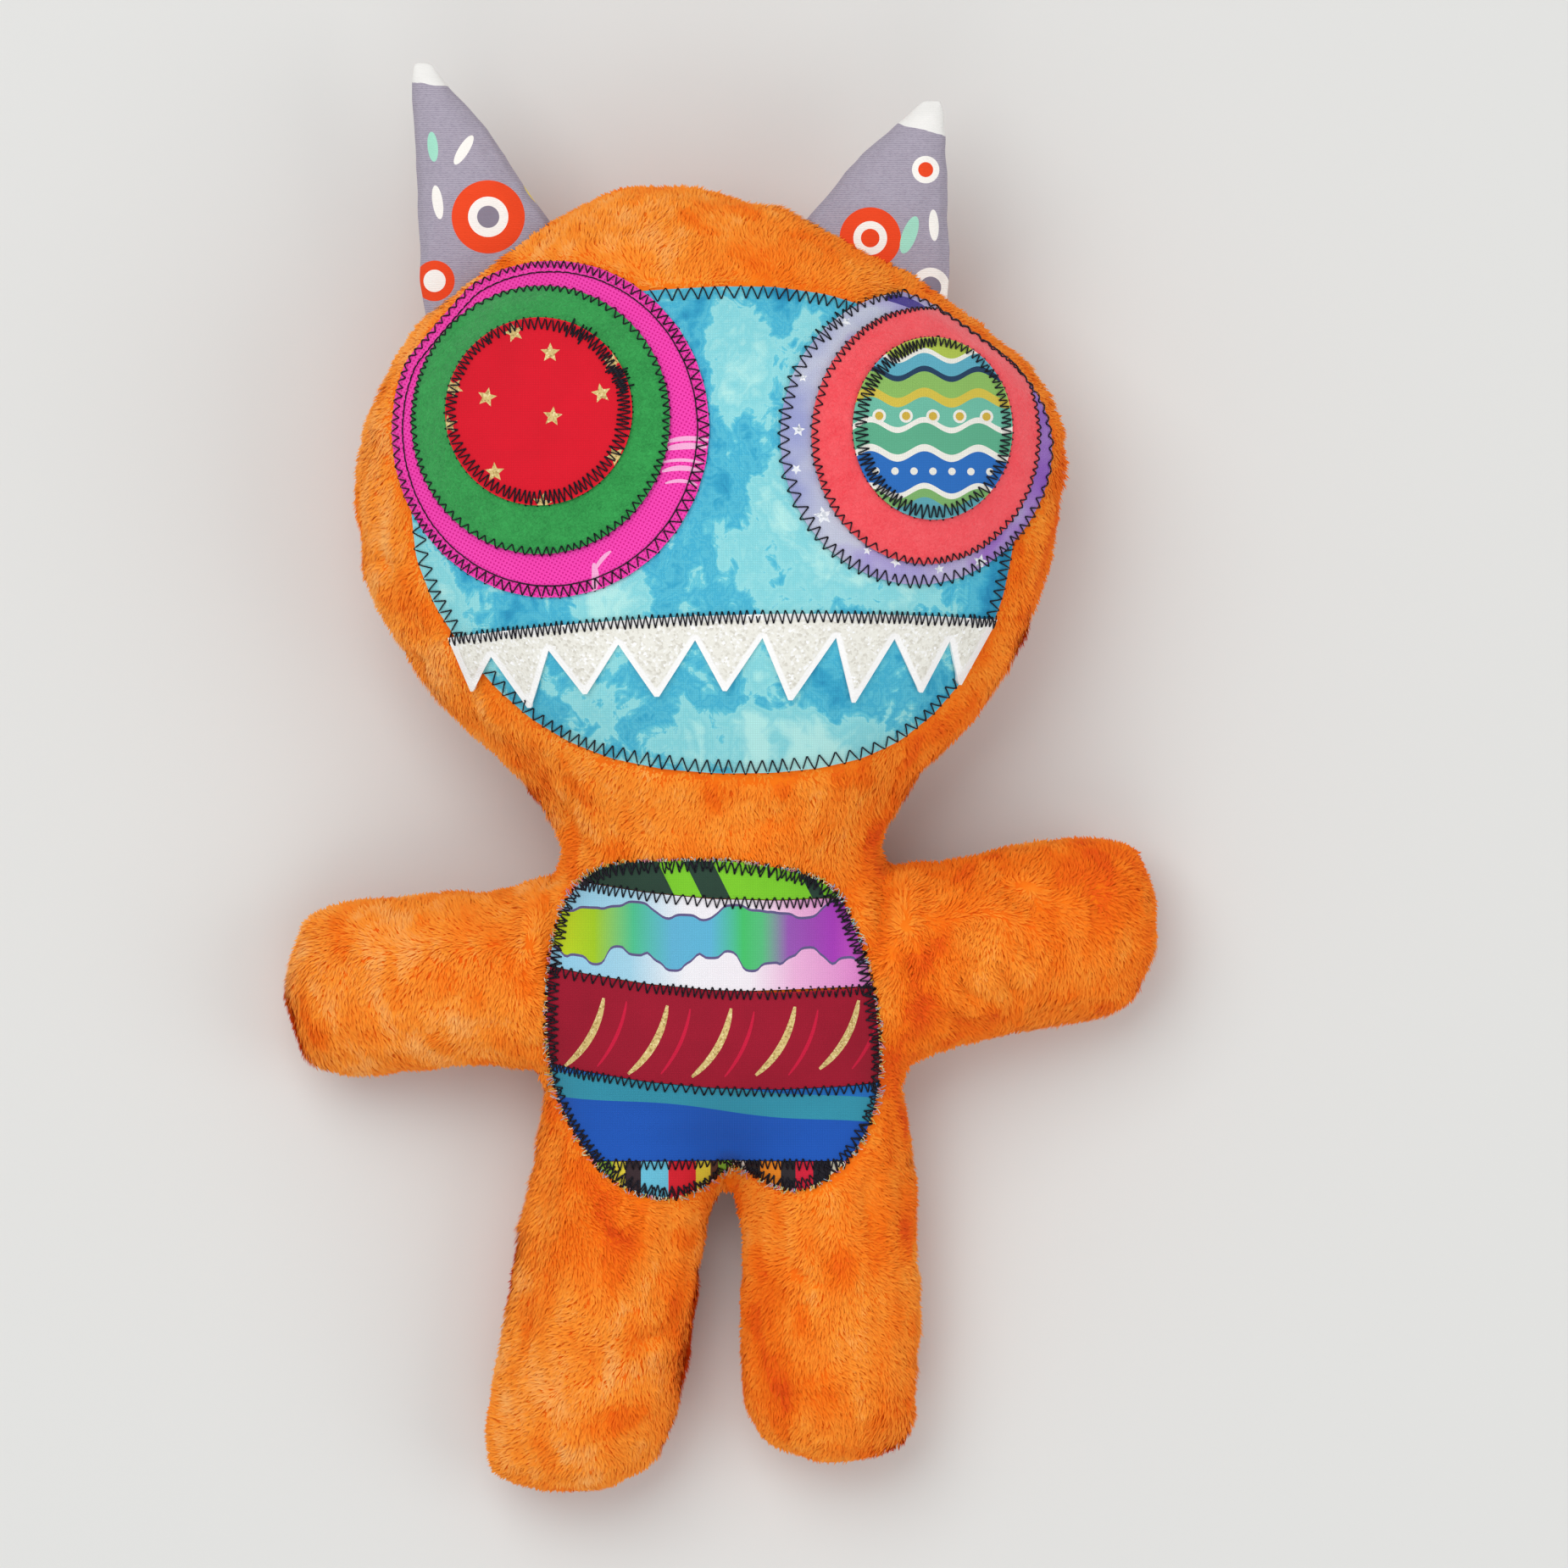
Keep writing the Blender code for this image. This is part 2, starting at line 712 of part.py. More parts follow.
def ear_surface(ear):
    """Return an ear's skin, open at its base, with a front and a back that share their seam."""
    skin = bmesh.new()
    rows = ear_points(ear)
    grid = {}
    for row, line in enumerate(rows):
        for step, (x, y, depth) in enumerate(line):
            grid[row, step, FRONT] = skin.verts.new((x, y, HEAD_BACK + depth))
            grid[row, step, BACK] = grid[row, step, FRONT]
            if depth > 0:
                grid[row, step, BACK] = skin.verts.new((x, y, HEAD_BACK - depth))
    for row in range(len(rows) - 1):
        for step in range(EAR_ACROSS):
            places = ((row, step), (row, step + 1), (row + 1, step + 1), (row + 1, step))
            front = skin.faces.new([grid[place + (FRONT,)] for place in places])
            back = skin.faces.new([grid[place + (BACK,)] for place in reversed(places)])
            front.material_index = FRONT
            back.material_index = BACK
    bmesh.ops.triangulate(skin, faces=skin.faces, quad_method="SHORT_EDGE")
    return read_surface(skin)


def border_loop(triangles):
    """Return the vertices round the open edge of a sheet, with the sheet on their left."""
    directed = {(triangle[k - 1], triangle[k]) for triangle in triangles for k in range(3)}
    following = {a: b for a, b in directed if (b, a) not in directed}
    loop = [min(following)]
    while following[loop[-1]] != loop[0]:
        loop.append(following[loop[-1]])
    return loop


def capped_core(surface, inset):
    """Return the solid inside an open-ended skin, closed by a flat end at its base."""
    points = inset_points(surface, [inset] * len(surface.points))
    cap = tuple(reversed(border_loop(surface.triangles)))
    return points, surface.triangles + [cap]


def add_body(body, coarse, origin):
    """Add the two plush panels and the filling between them."""
    for name, side, sign in (("body_front_panel", FRONT, 1), ("body_back_panel", BACK, -1)):
        solid = thick_sheet(body, side_of(body, side), -PLUSH_WALL, 0.0, sign * SEAM_GAP / 2)
        add_piece(name, solid, "orange plush", origin)
    filling = filling_solid(coarse, body, PLUSH_WALL + SEAM_GAP)
    add_piece("body_stuffing", filling, "white fibre", origin)


def add_ears(body, origin):
    """Add both ears, cut off where they meet the head."""
    head = add_cutter("head_clearance", grown_skin(body, SEAM_GAP), origin)
    for ear in EARS:
        skin = ear_surface(ear)
        pieces = []
        for panel, part, sign in (("front", FRONT, 1), ("back", BACK, -1)):
            solid = thick_sheet(skin, side_of(skin, part), -EAR_CLOTH, 0.0, sign * SEAM_GAP / 2)
            name = f"ear_{ear.name}_{panel}_panel"
            pieces.append(add_piece(name, solid, "grey cotton", origin))
        core = capped_core(skin, EAR_CLOTH + SEAM_GAP)
        pieces.append(add_piece(f"ear_{ear.name}_stuffing", core, "white fibre", origin))
        for piece in pieces:
            cut(piece, head, "DIFFERENCE")


class Patch(NamedTuple):
    """A cut piece of cloth that lies on the front: its outline and its two heights."""

    name: str
    loop: list
    low: float
    high: float
    finish: str


def add_patch(body, patch, origin, bands=()):
    """Add a patch that follows the body below it and has the outline of its loop."""
    reach = body_reach(body)
    chosen = region(body, patch.loop, CUTTER_MARGIN)
    sheet = thick_sheet(body, chosen, patch.low, patch.high)
    piece = add_piece(patch.name, sheet, patch.finish, origin)
    outline = add_cutter(f"{patch.name}_outline", prism(patch.loop, 0.0, reach), origin)
    cut(piece, outline, "INTERSECT")
    for number, band in enumerate(bands):
        strip = add_cutter(f"{patch.name}_band_{number}", prism(band, 0.0, reach), origin)
        cut(piece, strip, "INTERSECT")


def body_reach(body):
    """Return a height that clears everything on the front."""
    return max(point.z for point in body.points) + CUTTER_MARGIN


def scaled_loop(outline, centre, width, height):
    """Return a smooth loop from an outline in shares of the half width and half height."""
    corners = [
        (centre[0] + across * width / 2, centre[1] + up * height / 2) for across, up in outline
    ]
    return anticlockwise(smooth_loop(corners))


def anticlockwise(loop):
    """Return a loop in anticlockwise order."""
    twice_area = sum(
        loop[k - 1][0] * loop[k][1] - loop[k][0] * loop[k - 1][1] for k in range(len(loop))
    )
    return loop if twice_area > 0 else list(reversed(loop))


def seam_outline(body):
    """Return the seam as seen from above, moved in by the margin that a patch keeps to it."""
    loop = border_loop([body.triangles[number] for number in side_of(body, FRONT)])
    places = [body.points[vertex] - body.normals[vertex] * PATCH_MARGIN for vertex in loop]
    return [(place.x, place.y) for place in places]


def inside(loop, x, y):
    """Tell whether a point lies inside a closed loop."""
    within = False
    for number, (end_x, end_y) in enumerate(loop):
        start_x, start_y = loop[number - 1]
        if (start_y > y) != (end_y > y):
            crossing = start_x + (y - start_y) / (end_y - start_y) * (end_x - start_x)
            if crossing > x:
                within = not within
    return within


def held_inside(loop, centre, limit):
    """Return the loop with each point drawn towards the centre until it lies inside a limit."""
    held = []
    for x, y in loop:
        share = 1.0
        while share > 0 and not inside(limit, blend(centre[0], x, share), blend(centre[1], y, share)):
            share -= HOLD_STEP
        held.append((blend(centre[0], x, share), blend(centre[1], y, share)))
    return held


def disc_loop(disc, centre):
    """Return the round outline of an eye's disc."""
    loop = []
    for step in range(DISC_SIDES):
        angle = math.tau * step / DISC_SIDES
        x = centre[0] + disc.right + disc.width / 2 * math.cos(angle)
        y = centre[1] + disc.up + disc.height / 2 * math.sin(angle)
        loop.append((x, y))
    return loop


def tooth_loop(left, top):
    """Return the outline of the strip of teeth from its upper left corner."""
    scale = MOUTH_WIDTH / sum(width for width, _, _ in TEETH)
    end = left + MOUTH_WIDTH

    def upper(x):
        """Return the height of the strip's upper edge, which arches a little."""
        s = 2 * (x - left) / MOUTH_WIDTH - 1
        return top + MOUTH_ARCH * (1 - s * s) + MOUTH_TILT * s

    loop = []
    x = left
    for number, (width, length, lean) in enumerate(TEETH):
        width *= scale
        if number:
            loop.append((x, upper(x) - TOOTH_ROOT))
        else:
            loop.append((x, upper(x)))
        tip = x + width * lean
        blunt = TOOTH_BLUNTNESS * width / 2
        loop.append((tip - blunt, upper(tip) - length))
        loop.append((tip + blunt, upper(tip) - length))
        x += width
    for step in range(MOUTH_STEPS):
        x = blend(end, left, step / MOUTH_STEPS)
        loop.append((x, upper(x)))
    return anticlockwise(loop)


def add_face(body, limit, origin):
    """Add the face patch, the teeth and the eyes, each on what lies below it."""
    face_low = SEAM_GAP
    face_high = face_low + PATCH_CLOTH
    centre = head_place(*FACE_PATCH_PLACE)
    loop = scaled_loop(FACE_OUTLINE, centre, FACE_PATCH_WIDTH, FACE_PATCH_HEIGHT)
    loop = held_inside(loop, centre, limit)
    add_patch(body, Patch("face_patch", loop, face_low, face_high, "blue batik"), origin)

    upper_low = face_high + SEAM_GAP
    middle = head_place(*MOUTH_PLACE)
    loop = tooth_loop(middle[0] - MOUTH_WIDTH / 2, middle[1])
    loop = held_inside(loop, middle, limit)
    high = upper_low + TOOTH_SHEET
    add_patch(body, Patch("tooth_strip", loop, upper_low, high, "white sheet"), origin)

    for eye in EYES:
        middle = head_place(eye.across, eye.down)
        low = upper_low
        for disc, cloth in zip(eye.discs, (PATCH_CLOTH, EYE_FELT, PATCH_CLOTH)):
            high = low + cloth
            loop = held_inside(disc_loop(disc, middle), middle, limit)
            patch = Patch(disc.name, loop, low, high, disc.finish)
            add_patch(body, patch, origin)
            low = high + SEAM_GAP


def strip_edge(depth, centre, top, straight):
    """Return a strip's lower edge from left to right, as seen on the belly patch."""
    edge = []
    for step in range(STRIP_STEPS + 1):
        s = STRIP_OVERRUN * (2 * step / STRIP_STEPS - 1)
        sag = 0.0 if straight else BELLY_SAG * (s * s) - BELLY_TILT * s
        edge.append((centre[0] + s * BELLY_WIDTH / 2, top - depth + sag))
    return edge


def add_belly(body, limit, origin):
    """Add the five strips of the belly patch, which meet edge to edge."""
    top = -BELLY_TOP
    centre = (BELLY_SHIFT, top - BELLY_HEIGHT / 2)
    loop = scaled_loop(BELLY_OUTLINE, centre, BELLY_WIDTH, BELLY_HEIGHT)
    loop = held_inside(loop, centre, limit)
    depth = 0.0
    above = [(x, y + BELLY_HEIGHT) for x, y in strip_edge(0.0, centre, top, True)]
    for number, finish in enumerate(BELLY_FINISHES):
        if number < len(STRIP_HEIGHTS):
            depth += STRIP_HEIGHTS[number]
            straight = number == len(STRIP_HEIGHTS) - 1
            below = strip_edge(depth, centre, top, straight)
        else:
            below = [(x, y - BELLY_HEIGHT) for x, y in above]
        low_edge = [(x, y + SEAM_GAP / 2) for x, y in below]
        high_edge = [(x, y - SEAM_GAP / 2) for x, y in above]
        band = anticlockwise(low_edge + list(reversed(high_edge)))
        name = f"belly_strip_{number + 1}"
        patch = Patch(name, loop, SEAM_GAP, SEAM_GAP + PATCH_CLOTH, finish)
        add_patch(body, patch, origin, (band,))
        above = below


def centre_on_floor(origin):
    """Move the doll so that its box is centred over the origin."""
    graph = bpy.context.evaluated_depsgraph_get()
    corners = []
    for item in bpy.context.scene.objects:
        if item.type == "MESH" and not item.hide_render:
            box = item.evaluated_get(graph).bound_box
            corners += [item.matrix_world @ Vector(corner) for corner in box]
    for axis in (0, 1):
        values = [corner[axis] for corner in corners]
        origin.location[axis] = -(min(values) + max(values)) / 2


def main():
    """Build the whole doll."""
    for item in list(bpy.data.objects):
        bpy.data.objects.remove(item)
    origin = bpy.data.objects.new("doll_origin", None)
    bpy.context.scene.collection.objects.link(origin)

    targets, faces, sides = sewn_cage(*body_pattern())
    cage = seat_cage(targets, faces)
    body = smooth_surface("skin", cage, faces, sides, SUBDIVISION)
    coarse = smooth_surface("core", cage, faces, sides, FILLING_SUBDIVISION)
    add_body(body, coarse, origin)
    add_ears(body, origin)
    limit = seam_outline(body)
    add_face(body, limit, origin)
    add_belly(body, limit, origin)
    centre_on_floor(origin)


main()
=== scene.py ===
"""A stuffed monster doll in short-pile plush, cotton and felt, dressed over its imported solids.

The doll lies on its back with its face up. Left and right are as seen by someone who looks at
the face. Lengths are metres unless a name says otherwise.
"""

import json
import logging
import math
from dataclasses import dataclass, field
from enum import Enum
from typing import Any, Optional, Sequence

import bpy
import numpy as np
from bpy.types import Material, Node, NodeSocket, NodeTree, Object
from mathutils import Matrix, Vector, noise
from mathutils.bvhtree import BVHTree
from mathutils.geometry import delaunay_2d_cdt
from mathutils.kdtree import KDTree

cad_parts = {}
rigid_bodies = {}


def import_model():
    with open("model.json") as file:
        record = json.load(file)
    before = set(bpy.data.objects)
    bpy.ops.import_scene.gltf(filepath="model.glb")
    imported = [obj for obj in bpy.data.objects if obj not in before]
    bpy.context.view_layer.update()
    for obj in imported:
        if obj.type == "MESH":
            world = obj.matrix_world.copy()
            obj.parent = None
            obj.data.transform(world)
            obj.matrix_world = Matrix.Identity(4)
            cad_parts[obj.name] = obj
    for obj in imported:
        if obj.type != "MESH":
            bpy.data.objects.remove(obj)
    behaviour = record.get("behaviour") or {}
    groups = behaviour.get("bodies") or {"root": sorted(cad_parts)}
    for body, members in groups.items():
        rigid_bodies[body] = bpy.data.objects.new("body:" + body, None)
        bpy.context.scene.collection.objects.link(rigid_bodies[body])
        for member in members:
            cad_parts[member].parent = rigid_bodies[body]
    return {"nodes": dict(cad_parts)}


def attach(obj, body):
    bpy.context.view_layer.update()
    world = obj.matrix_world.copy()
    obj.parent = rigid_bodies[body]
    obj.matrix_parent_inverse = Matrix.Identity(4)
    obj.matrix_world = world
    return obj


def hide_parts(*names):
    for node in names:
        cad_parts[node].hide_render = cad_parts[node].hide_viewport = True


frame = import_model()

Rows = np.ndarray  # one row for each point
Place = tuple[float, float]  # x and y, seen from above

LOG = logging.getLogger("doll")
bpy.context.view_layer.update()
UV_PER_METRE = 10.0  # the cloth's own map has one unit for every 100 mm
BODY_MIDDLE = (0.0, 0.05)  # seen from above, between the head and the torso
LOWEST_CLOTH = 0.004  # height under which no cloth or thread is laid
STEEPEST = 0.45  # least upward share of a normal that is used to lift cloth


def linear(code: str) -> tuple[float, float, float, float]:
    """Turn a sRGB hex colour into linear red, green, blue and alpha.

    Args:
        code: The colour as "#RRGGBB".

    Returns:
        Four channels from 0 to 1.
    """
    channels = [int(code[start:start + 2], 16) / 255 for start in (1, 3, 5)]
    values = [c / 12.92 if c <= 0.04045 else ((c + 0.055) / 1.055) ** 2.4 for c in channels]
    return (*values, 1.0)


def set_inputs(tree: NodeTree, node: Node, inputs: dict[Any, Any]) -> None:
    """Give a node's inputs their values and their links.

    Args:
        tree: The node tree.
        node: The node.
        inputs: For each input, by name or number, a value, the output that it is linked to, or
            the node whose first output it is linked to.
    """
    for key, value in inputs.items():
        source = value.outputs[0] if isinstance(value, Node) else value
        if isinstance(source, NodeSocket):
            tree.links.new(source, node.inputs[key])
        else:
            node.inputs[key].default_value = source


def add_node(tree: NodeTree, kind: str, inputs: Optional[dict[Any, Any]] = None,
             stops: Sequence[tuple[float, str]] = (), interpolation: str = "LINEAR",
             **settings: Any) -> Node:
    """Add a shader node with its settings, its input values and its links.

    Args:
        tree: The node tree.
        kind: The node's type without its first word, which all of them share.
        inputs: What each input takes, as set_inputs reads it.
        stops: Places and hex colours of a colour ramp.
        interpolation: How a colour ramp passes between its stops.
        **settings: The node's own properties.

    Returns:
        The new node.
    """
    node = tree.nodes.new(f"ShaderNode{kind}")
    for name, value in settings.items():
        setattr(node, name, value)
    set_inputs(tree, node, inputs or {})
    if stops:
        ramp = node.color_ramp
        ramp.interpolation = interpolation
        while len(ramp.elements) < len(stops):
            ramp.elements.new(1.0)
        for element, (place, code) in zip(ramp.elements, stops):
            element.position = place
            element.color = linear(code)
    return node


def activate(*items: Object) -> None:
    """Select only these objects, with the first one active.

    Args:
        *items: The objects.
    """
    bpy.ops.object.select_all(action="DESELECT")
    for item in items:
        item.select_set(True)
    bpy.context.view_layer.objects.active = items[0]


def read_rows(items: Any, name: str, width: int = 3, kind: type = float) -> Rows:
    """Read one property of all of a mesh's points, corners or faces.

    Args:
        items: The points, corners or faces.
        name: The property.
        width: How many values each of them has.
        kind: The type of the values.

    Returns:
        One row for each, or one value where the width is one.
    """
    values = np.zeros(len(items) * width, dtype=kind)
    items.foreach_get(name, values)
    return values.reshape(-1, width) if width > 1 else values


def coordinates(item: Object) -> Rows:
    """Return an object's points as rows of x, y and z."""
    return read_rows(item.data.vertices, "co")


def set_coordinates(item: Object, points: Rows) -> None:
    """Put an object's points where the rows say."""
    item.data.vertices.foreach_set("co", points.astype(np.float32).ravel())
    item.data.update()


def point_normals(item: Object) -> Rows:
    """Return the smooth normal at each of an object's points."""
    return read_rows(item.data.vertex_normals, "vector")


def keep_values(item: Object, name: str, values: Rows, kind: str = "FLOAT",
                domain: str = "POINT") -> None:
    """Store one value for each point or face of an object as an attribute."""
    item.data.attributes.new(name, kind, domain).data.foreach_set("value", values)


def apply_modifier(item: Object, name: str, kind: str, **settings: Any) -> None:
    """Shape an object by a modifier.

    Args:
        item: The object.
        name: What the modifier is for.
        kind: Its type.
        **settings: Its own properties.
    """
    activate(item)
    modifier = item.modifiers.new(name, kind)
    for key, value in settings.items():
        setattr(modifier, key, value)
    bpy.ops.object.modifier_apply(modifier=name)


def unit(rows: Rows) -> Rows:
    """Return each row scaled to a length of one."""
    return rows / np.maximum(np.linalg.norm(rows, axis=-1, keepdims=True), 1e-9)


def noise_at(points: Rows, size: float, seed: float = 0.0) -> Rows:
    """Return smooth noise from about -1 to 1 at each point.

    Args:
        points: Rows of x, y and z.
        size: Distance over which the noise changes.
        seed: Shift that gives another pattern.

    Returns:
        One value for each row.
    """
    scaled = points / size + seed
    return np.array([noise.noise(Vector(row)) for row in scaled])


def add_object(name: str, data: Any) -> Object:
    """Put an object with its mesh, lamp or camera into the scene."""
    item = bpy.data.objects.new(name, data)
    bpy.context.scene.collection.objects.link(item)
    return item


def new_mesh_object(name: str, points: Rows, faces: Sequence) -> Object:
    """Add a mesh object with its place in its mesh.

    Args:
        name: Its name.
        points: Rows of x, y and z.
        faces: The numbers of each face's points.

    Returns:
        The object.
    """
    mesh = bpy.data.meshes.new(name)
    mesh.from_pydata([tuple(point) for point in points], [], [tuple(face) for face in faces])
    mesh.update()
    return add_object(name, mesh)


def smooth_shading(item: Object) -> None:
    """Shade every face of an object smooth."""
    item.data.polygons.foreach_set("use_smooth", [True] * len(item.data.polygons))
    item.data.update()


def lay_cloth_map(item: Object) -> None:
    """Give a piece the flat map of its cloth, as seen from above."""
    index = read_rows(item.data.loops, "vertex_index", 1, np.int32)
    flat = coordinates(item)[index][:, :2] * UV_PER_METRE
    layer = item.data.uv_layers.new(name="cloth")
    layer.data.foreach_set("uv", flat.astype(np.float32).ravel())


def show(item: Object, finishes: Sequence["Finish"],
         replaces: Sequence[str] = ()) -> None:
    """Dress a piece, let it ride on the doll and report it.

    Args:
        item: The piece.
        finishes: Its finishes, in the order of its material slots.
        replaces: The solids that it stands for.
    """
    for finish in finishes:
        item.data.materials.append(finish.material())
    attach(item, "root")
    if replaces:
        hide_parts(*replaces)
    LOG.info("%s: %d faces, %s", item.name, len(item.data.polygons), finishes[0].name)


@dataclass(frozen=True)
class Finish:
    """A cloth, print or thread that dresses a piece."""

    name: str
    roughness: float

    def material(self) -> Material:
        """Return the finish's material, made once."""
        found = bpy.data.materials.get(self.name)
        if found:
            return found
        material = bpy.data.materials.new(self.name)
        material.use_nodes = True
        tree = material.node_tree
        shader = tree.nodes["Principled BSDF"]
        set_inputs(tree, shader, {"Roughness": self.roughness})
        self.dress(tree, shader)
        return material

    def dress(self, tree: NodeTree, shader: Node) -> None:
        """Add the finish's own nodes.

        Args:
            tree: The material's node tree.
            shader: The shader that they feed.
        """
        raise NotImplementedError

    def bump(self, tree: NodeTree, shader: Node, height: Any,
             distance: float, strength: float = 1.0) -> None:
        """Raise the surface by a height pattern.

        Args:
            tree: The node tree.
            shader: The shader that takes the normal.
            height: Output of the pattern.
            distance: Height of the pattern's full range in metres.
            strength: Share of the effect.
        """
        set_inputs(tree, shader, {"Normal": add_node(tree, "Bump", {
            "Strength": strength, "Distance": distance, "Height": height})})


@dataclass(frozen=True)
class PlushFinish(Finish):
    """Knitted polyester plush with a brushed pile: soft, with painted sheen where the pile lies
    another way.
    """

    stops: tuple = ((0.0, "#C83C00"), (0.22, "#EE5600"), (0.48, "#FB790A"), (0.74, "#FF982C"),
                    (1.0, "#FFB864"))
    patch_mm: float = 30.0
    streak_mm: float = 6.0

    def dress(self, tree: NodeTree, shader: Node) -> None:
        """Mix patches and streaks of painted sheen with the tone of each lock."""
        place = add_node(tree, "TexCoord").outputs["Object"]
        # painted sheen: broad patches and fine streaks, lighter where the brushed pile catches the
        # light and darker where it leans away
        patches = add_node(tree, "TexNoise", {
            "Vector": place, "Scale": 1000 / self.patch_mm, "Detail": 3.0, "Roughness": 0.55,
            "Distortion": 0.6})
        squeezed = add_node(tree, "Mapping", {
            "Vector": place, "Scale": (1.0, 0.35, 1.0), "Rotation": (0.0, 0.0, 0.35)})
        painted_sheen_streaks = add_node(tree, "TexNoise", {
            "Vector": squeezed, "Scale": 1000 / self.streak_mm, "Detail": 2.0})
        tone = add_node(tree, "Attribute", attribute_name="tone").outputs["Fac"]
        painted_sheen_patches = add_node(tree, "Math", {0: patches, 1: 0.5, 2: -0.25}, operation="MULTIPLY_ADD")
        fine = add_node(tree, "Math", {0: painted_sheen_streaks, 1: 0.36, 2: -0.18}, operation="MULTIPLY_ADD")
        both = add_node(tree, "Math", {0: painted_sheen_patches, 1: fine}, operation="ADD")
        total = add_node(tree, "Math", {0: both, 1: tone}, operation="ADD")
        ramp = add_node(tree, "ValToRGB", {"Fac": total}, self.stops)
        set_inputs(tree, shader, {
            "Base Color": ramp, "Sheen Weight": 0.18, "Sheen Roughness": 0.6,
            "Sheen Tint": linear("#FFB070"), "Specular IOR Level": 0.2})


@dataclass(frozen=True)
class CottonFinish(Finish):
    """Plain woven quilting cotton: matt, with its threads just showing."""

    colour: str = "#FFFFFF"
    shade: str = "#EEEEEE"
    thread_mm: float = 0.55  # real threads are 0.3 mm apart, drawn coarser so that they show
    weave_depth: float = 0.22

    def print_colour(self, tree: NodeTree, place: Any) -> Any:
        """Return the output that colours the cloth.

        Args:
            tree: The node tree.
            place: The cloth's flat coordinates.

        Returns:
            A colour output.
        """
        cloud = add_node(tree, "TexNoise", {"Vector": place, "Scale": 8.0, "Detail": 3.0})
        mix = add_node(tree, "Mix", {0: cloud, 6: linear(self.colour), 7: linear(self.shade)},
                       data_type="RGBA")
        return mix.outputs[2]

    def dress(self, tree: NodeTree, shader: Node) -> None:
        """Weave warp and weft over the printed colour."""
        place = add_node(tree, "UVMap", uv_map="cloth").outputs["UV"]
        scale = math.pi * UV_PER_METRE / self.thread_mm
        warp, weft = (
            add_node(tree, "TexWave", {
                "Vector": place, "Scale": scale, "Distortion": 1.2, "Detail": 1.0,
                "Detail Scale": 1.5}, bands_direction=direction).outputs["Fac"]
            for direction in ("X", "Y")
        )
        weave = add_node(tree, "Math", {0: warp, 1: weft}, operation="MULTIPLY")
        colour = self.print_colour(tree, place)
        darker = add_node(tree, "Math", {
            0: weave, 1: self.weave_depth, 2: 1.0 - self.weave_depth / 2},
            operation="MULTIPLY_ADD")
        grey = add_node(tree, "CombineColor", {0: darker, 1: darker, 2: darker})
        mix = add_node(tree, "Mix", {0: 1.0, 6: colour, 7: grey},
                       data_type="RGBA", blend_type="MULTIPLY")
        set_inputs(tree, shader, {"Base Color": mix.outputs[2], "Specular IOR Level": 0.25})
        self.bump(tree, shader, weave, 0.00012, 0.6)


@dataclass(frozen=True)
class DottedFinish(CottonFinish):
    """Printed cotton with rows of tiny darker dots."""

    dot: str = "#DC1A8E"
    pitch_mm: float = 1.5

    def print_colour(self, tree: NodeTree, place: Any) -> Any:
        """Return the dotted colour."""
        ground = super().print_colour(tree, place)
        turned = add_node(tree, "Mapping", {
            "Vector": place, "Rotation": (0.0, 0.0, 0.5),
            "Scale": (100 / self.pitch_mm,) * 3})
        cell = add_node(tree, "VectorMath", {0: turned}, operation="FRACTION")
        centred = add_node(tree, "VectorMath", {0: cell, 1: (0.5, 0.5, 0.0)}, operation="DISTANCE")
        dots = add_node(tree, "Math", {0: centred.outputs["Value"], 1: 0.27}, operation="LESS_THAN")
        mix = add_node(tree, "Mix", {0: dots, 6: ground, 7: linear(self.dot)}, data_type="RGBA")
        return mix.outputs[2]


@dataclass(frozen=True)
class BatikFinish(CottonFinish):
    """Wax-resist dyed cotton: watery clouds of turquoise with paler pools."""

    pools: tuple = (  # middle, half width and half height of the places that took less dye
        ((0.021, 0.070), (0.019, 0.026)),
        ((0.012, 0.010), (0.036, 0.010)),
        ((-0.030, 0.055), (0.010, 0.010)),
        ((0.050, 0.058), (0.012, 0.010)),
        ((0.004, 0.130), (0.010, 0.020)),
    )

    stops: tuple = ((0.30, "#1F8AB8"), (0.39, "#38AACE"), (0.45, "#5AC2DA"), (0.468, "#40B2D4"),
                    (0.52, "#68CCDE"), (0.537, "#98E0E4"), (0.60, "#86D8E0"), (0.72, "#B6EEEA"))

    def print_colour(self, tree: NodeTree, place: Any) -> Any:
        """Return the clouded colour."""
        stretched = add_node(tree, "Mapping", {
            "Vector": place, "Scale": (1.0, 0.6, 1.0), "Location": (0.35, 0.1, 0.0)})
        pools = add_node(tree, "TexNoise", {
            "Vector": stretched, "Scale": 2.6, "Detail": 4.0, "Roughness": 0.62,
            "Distortion": 1.1})
        splashes = add_node(tree, "TexNoise", {
            "Vector": place, "Scale": 16.0, "Detail": 5.0, "Roughness": 0.7, "Distortion": 0.8})
        split = add_node(tree, "SeparateXYZ", {0: place})
        down = add_node(tree, "Math", {
            0: split.outputs["Y"], 1: -0.055, 2: 0.035}, operation="MULTIPLY_ADD")
        fine = add_node(tree, "Math", {0: splashes, 1: 0.35, 2: -0.175}, operation="MULTIPLY_ADD")
        both = add_node(tree, "Math", {0: pools, 1: fine}, operation="ADD")
        total = add_node(tree, "Math", {0: both, 1: down}, operation="ADD")
        for middle, half in self.pools:
            moved = add_node(tree, "Mapping", {
                "Vector": place, "Location": (*(UV_PER_METRE * c for c in middle), 0.0),
                "Scale": (*(UV_PER_METRE * c for c in half), 1.0)}, vector_type="TEXTURE")
            reach = add_node(tree, "VectorMath", {0: moved}, operation="LENGTH")
            pool = add_node(tree, "MapRange", {
                0: reach.outputs["Value"], 1: 0.7, 2: 1.25, 3: 0.16, 4: 0.0})
            total = add_node(tree, "Math", {0: total, 1: pool}, operation="ADD")
        return add_node(tree, "ValToRGB", {"Fac": total}, self.stops)


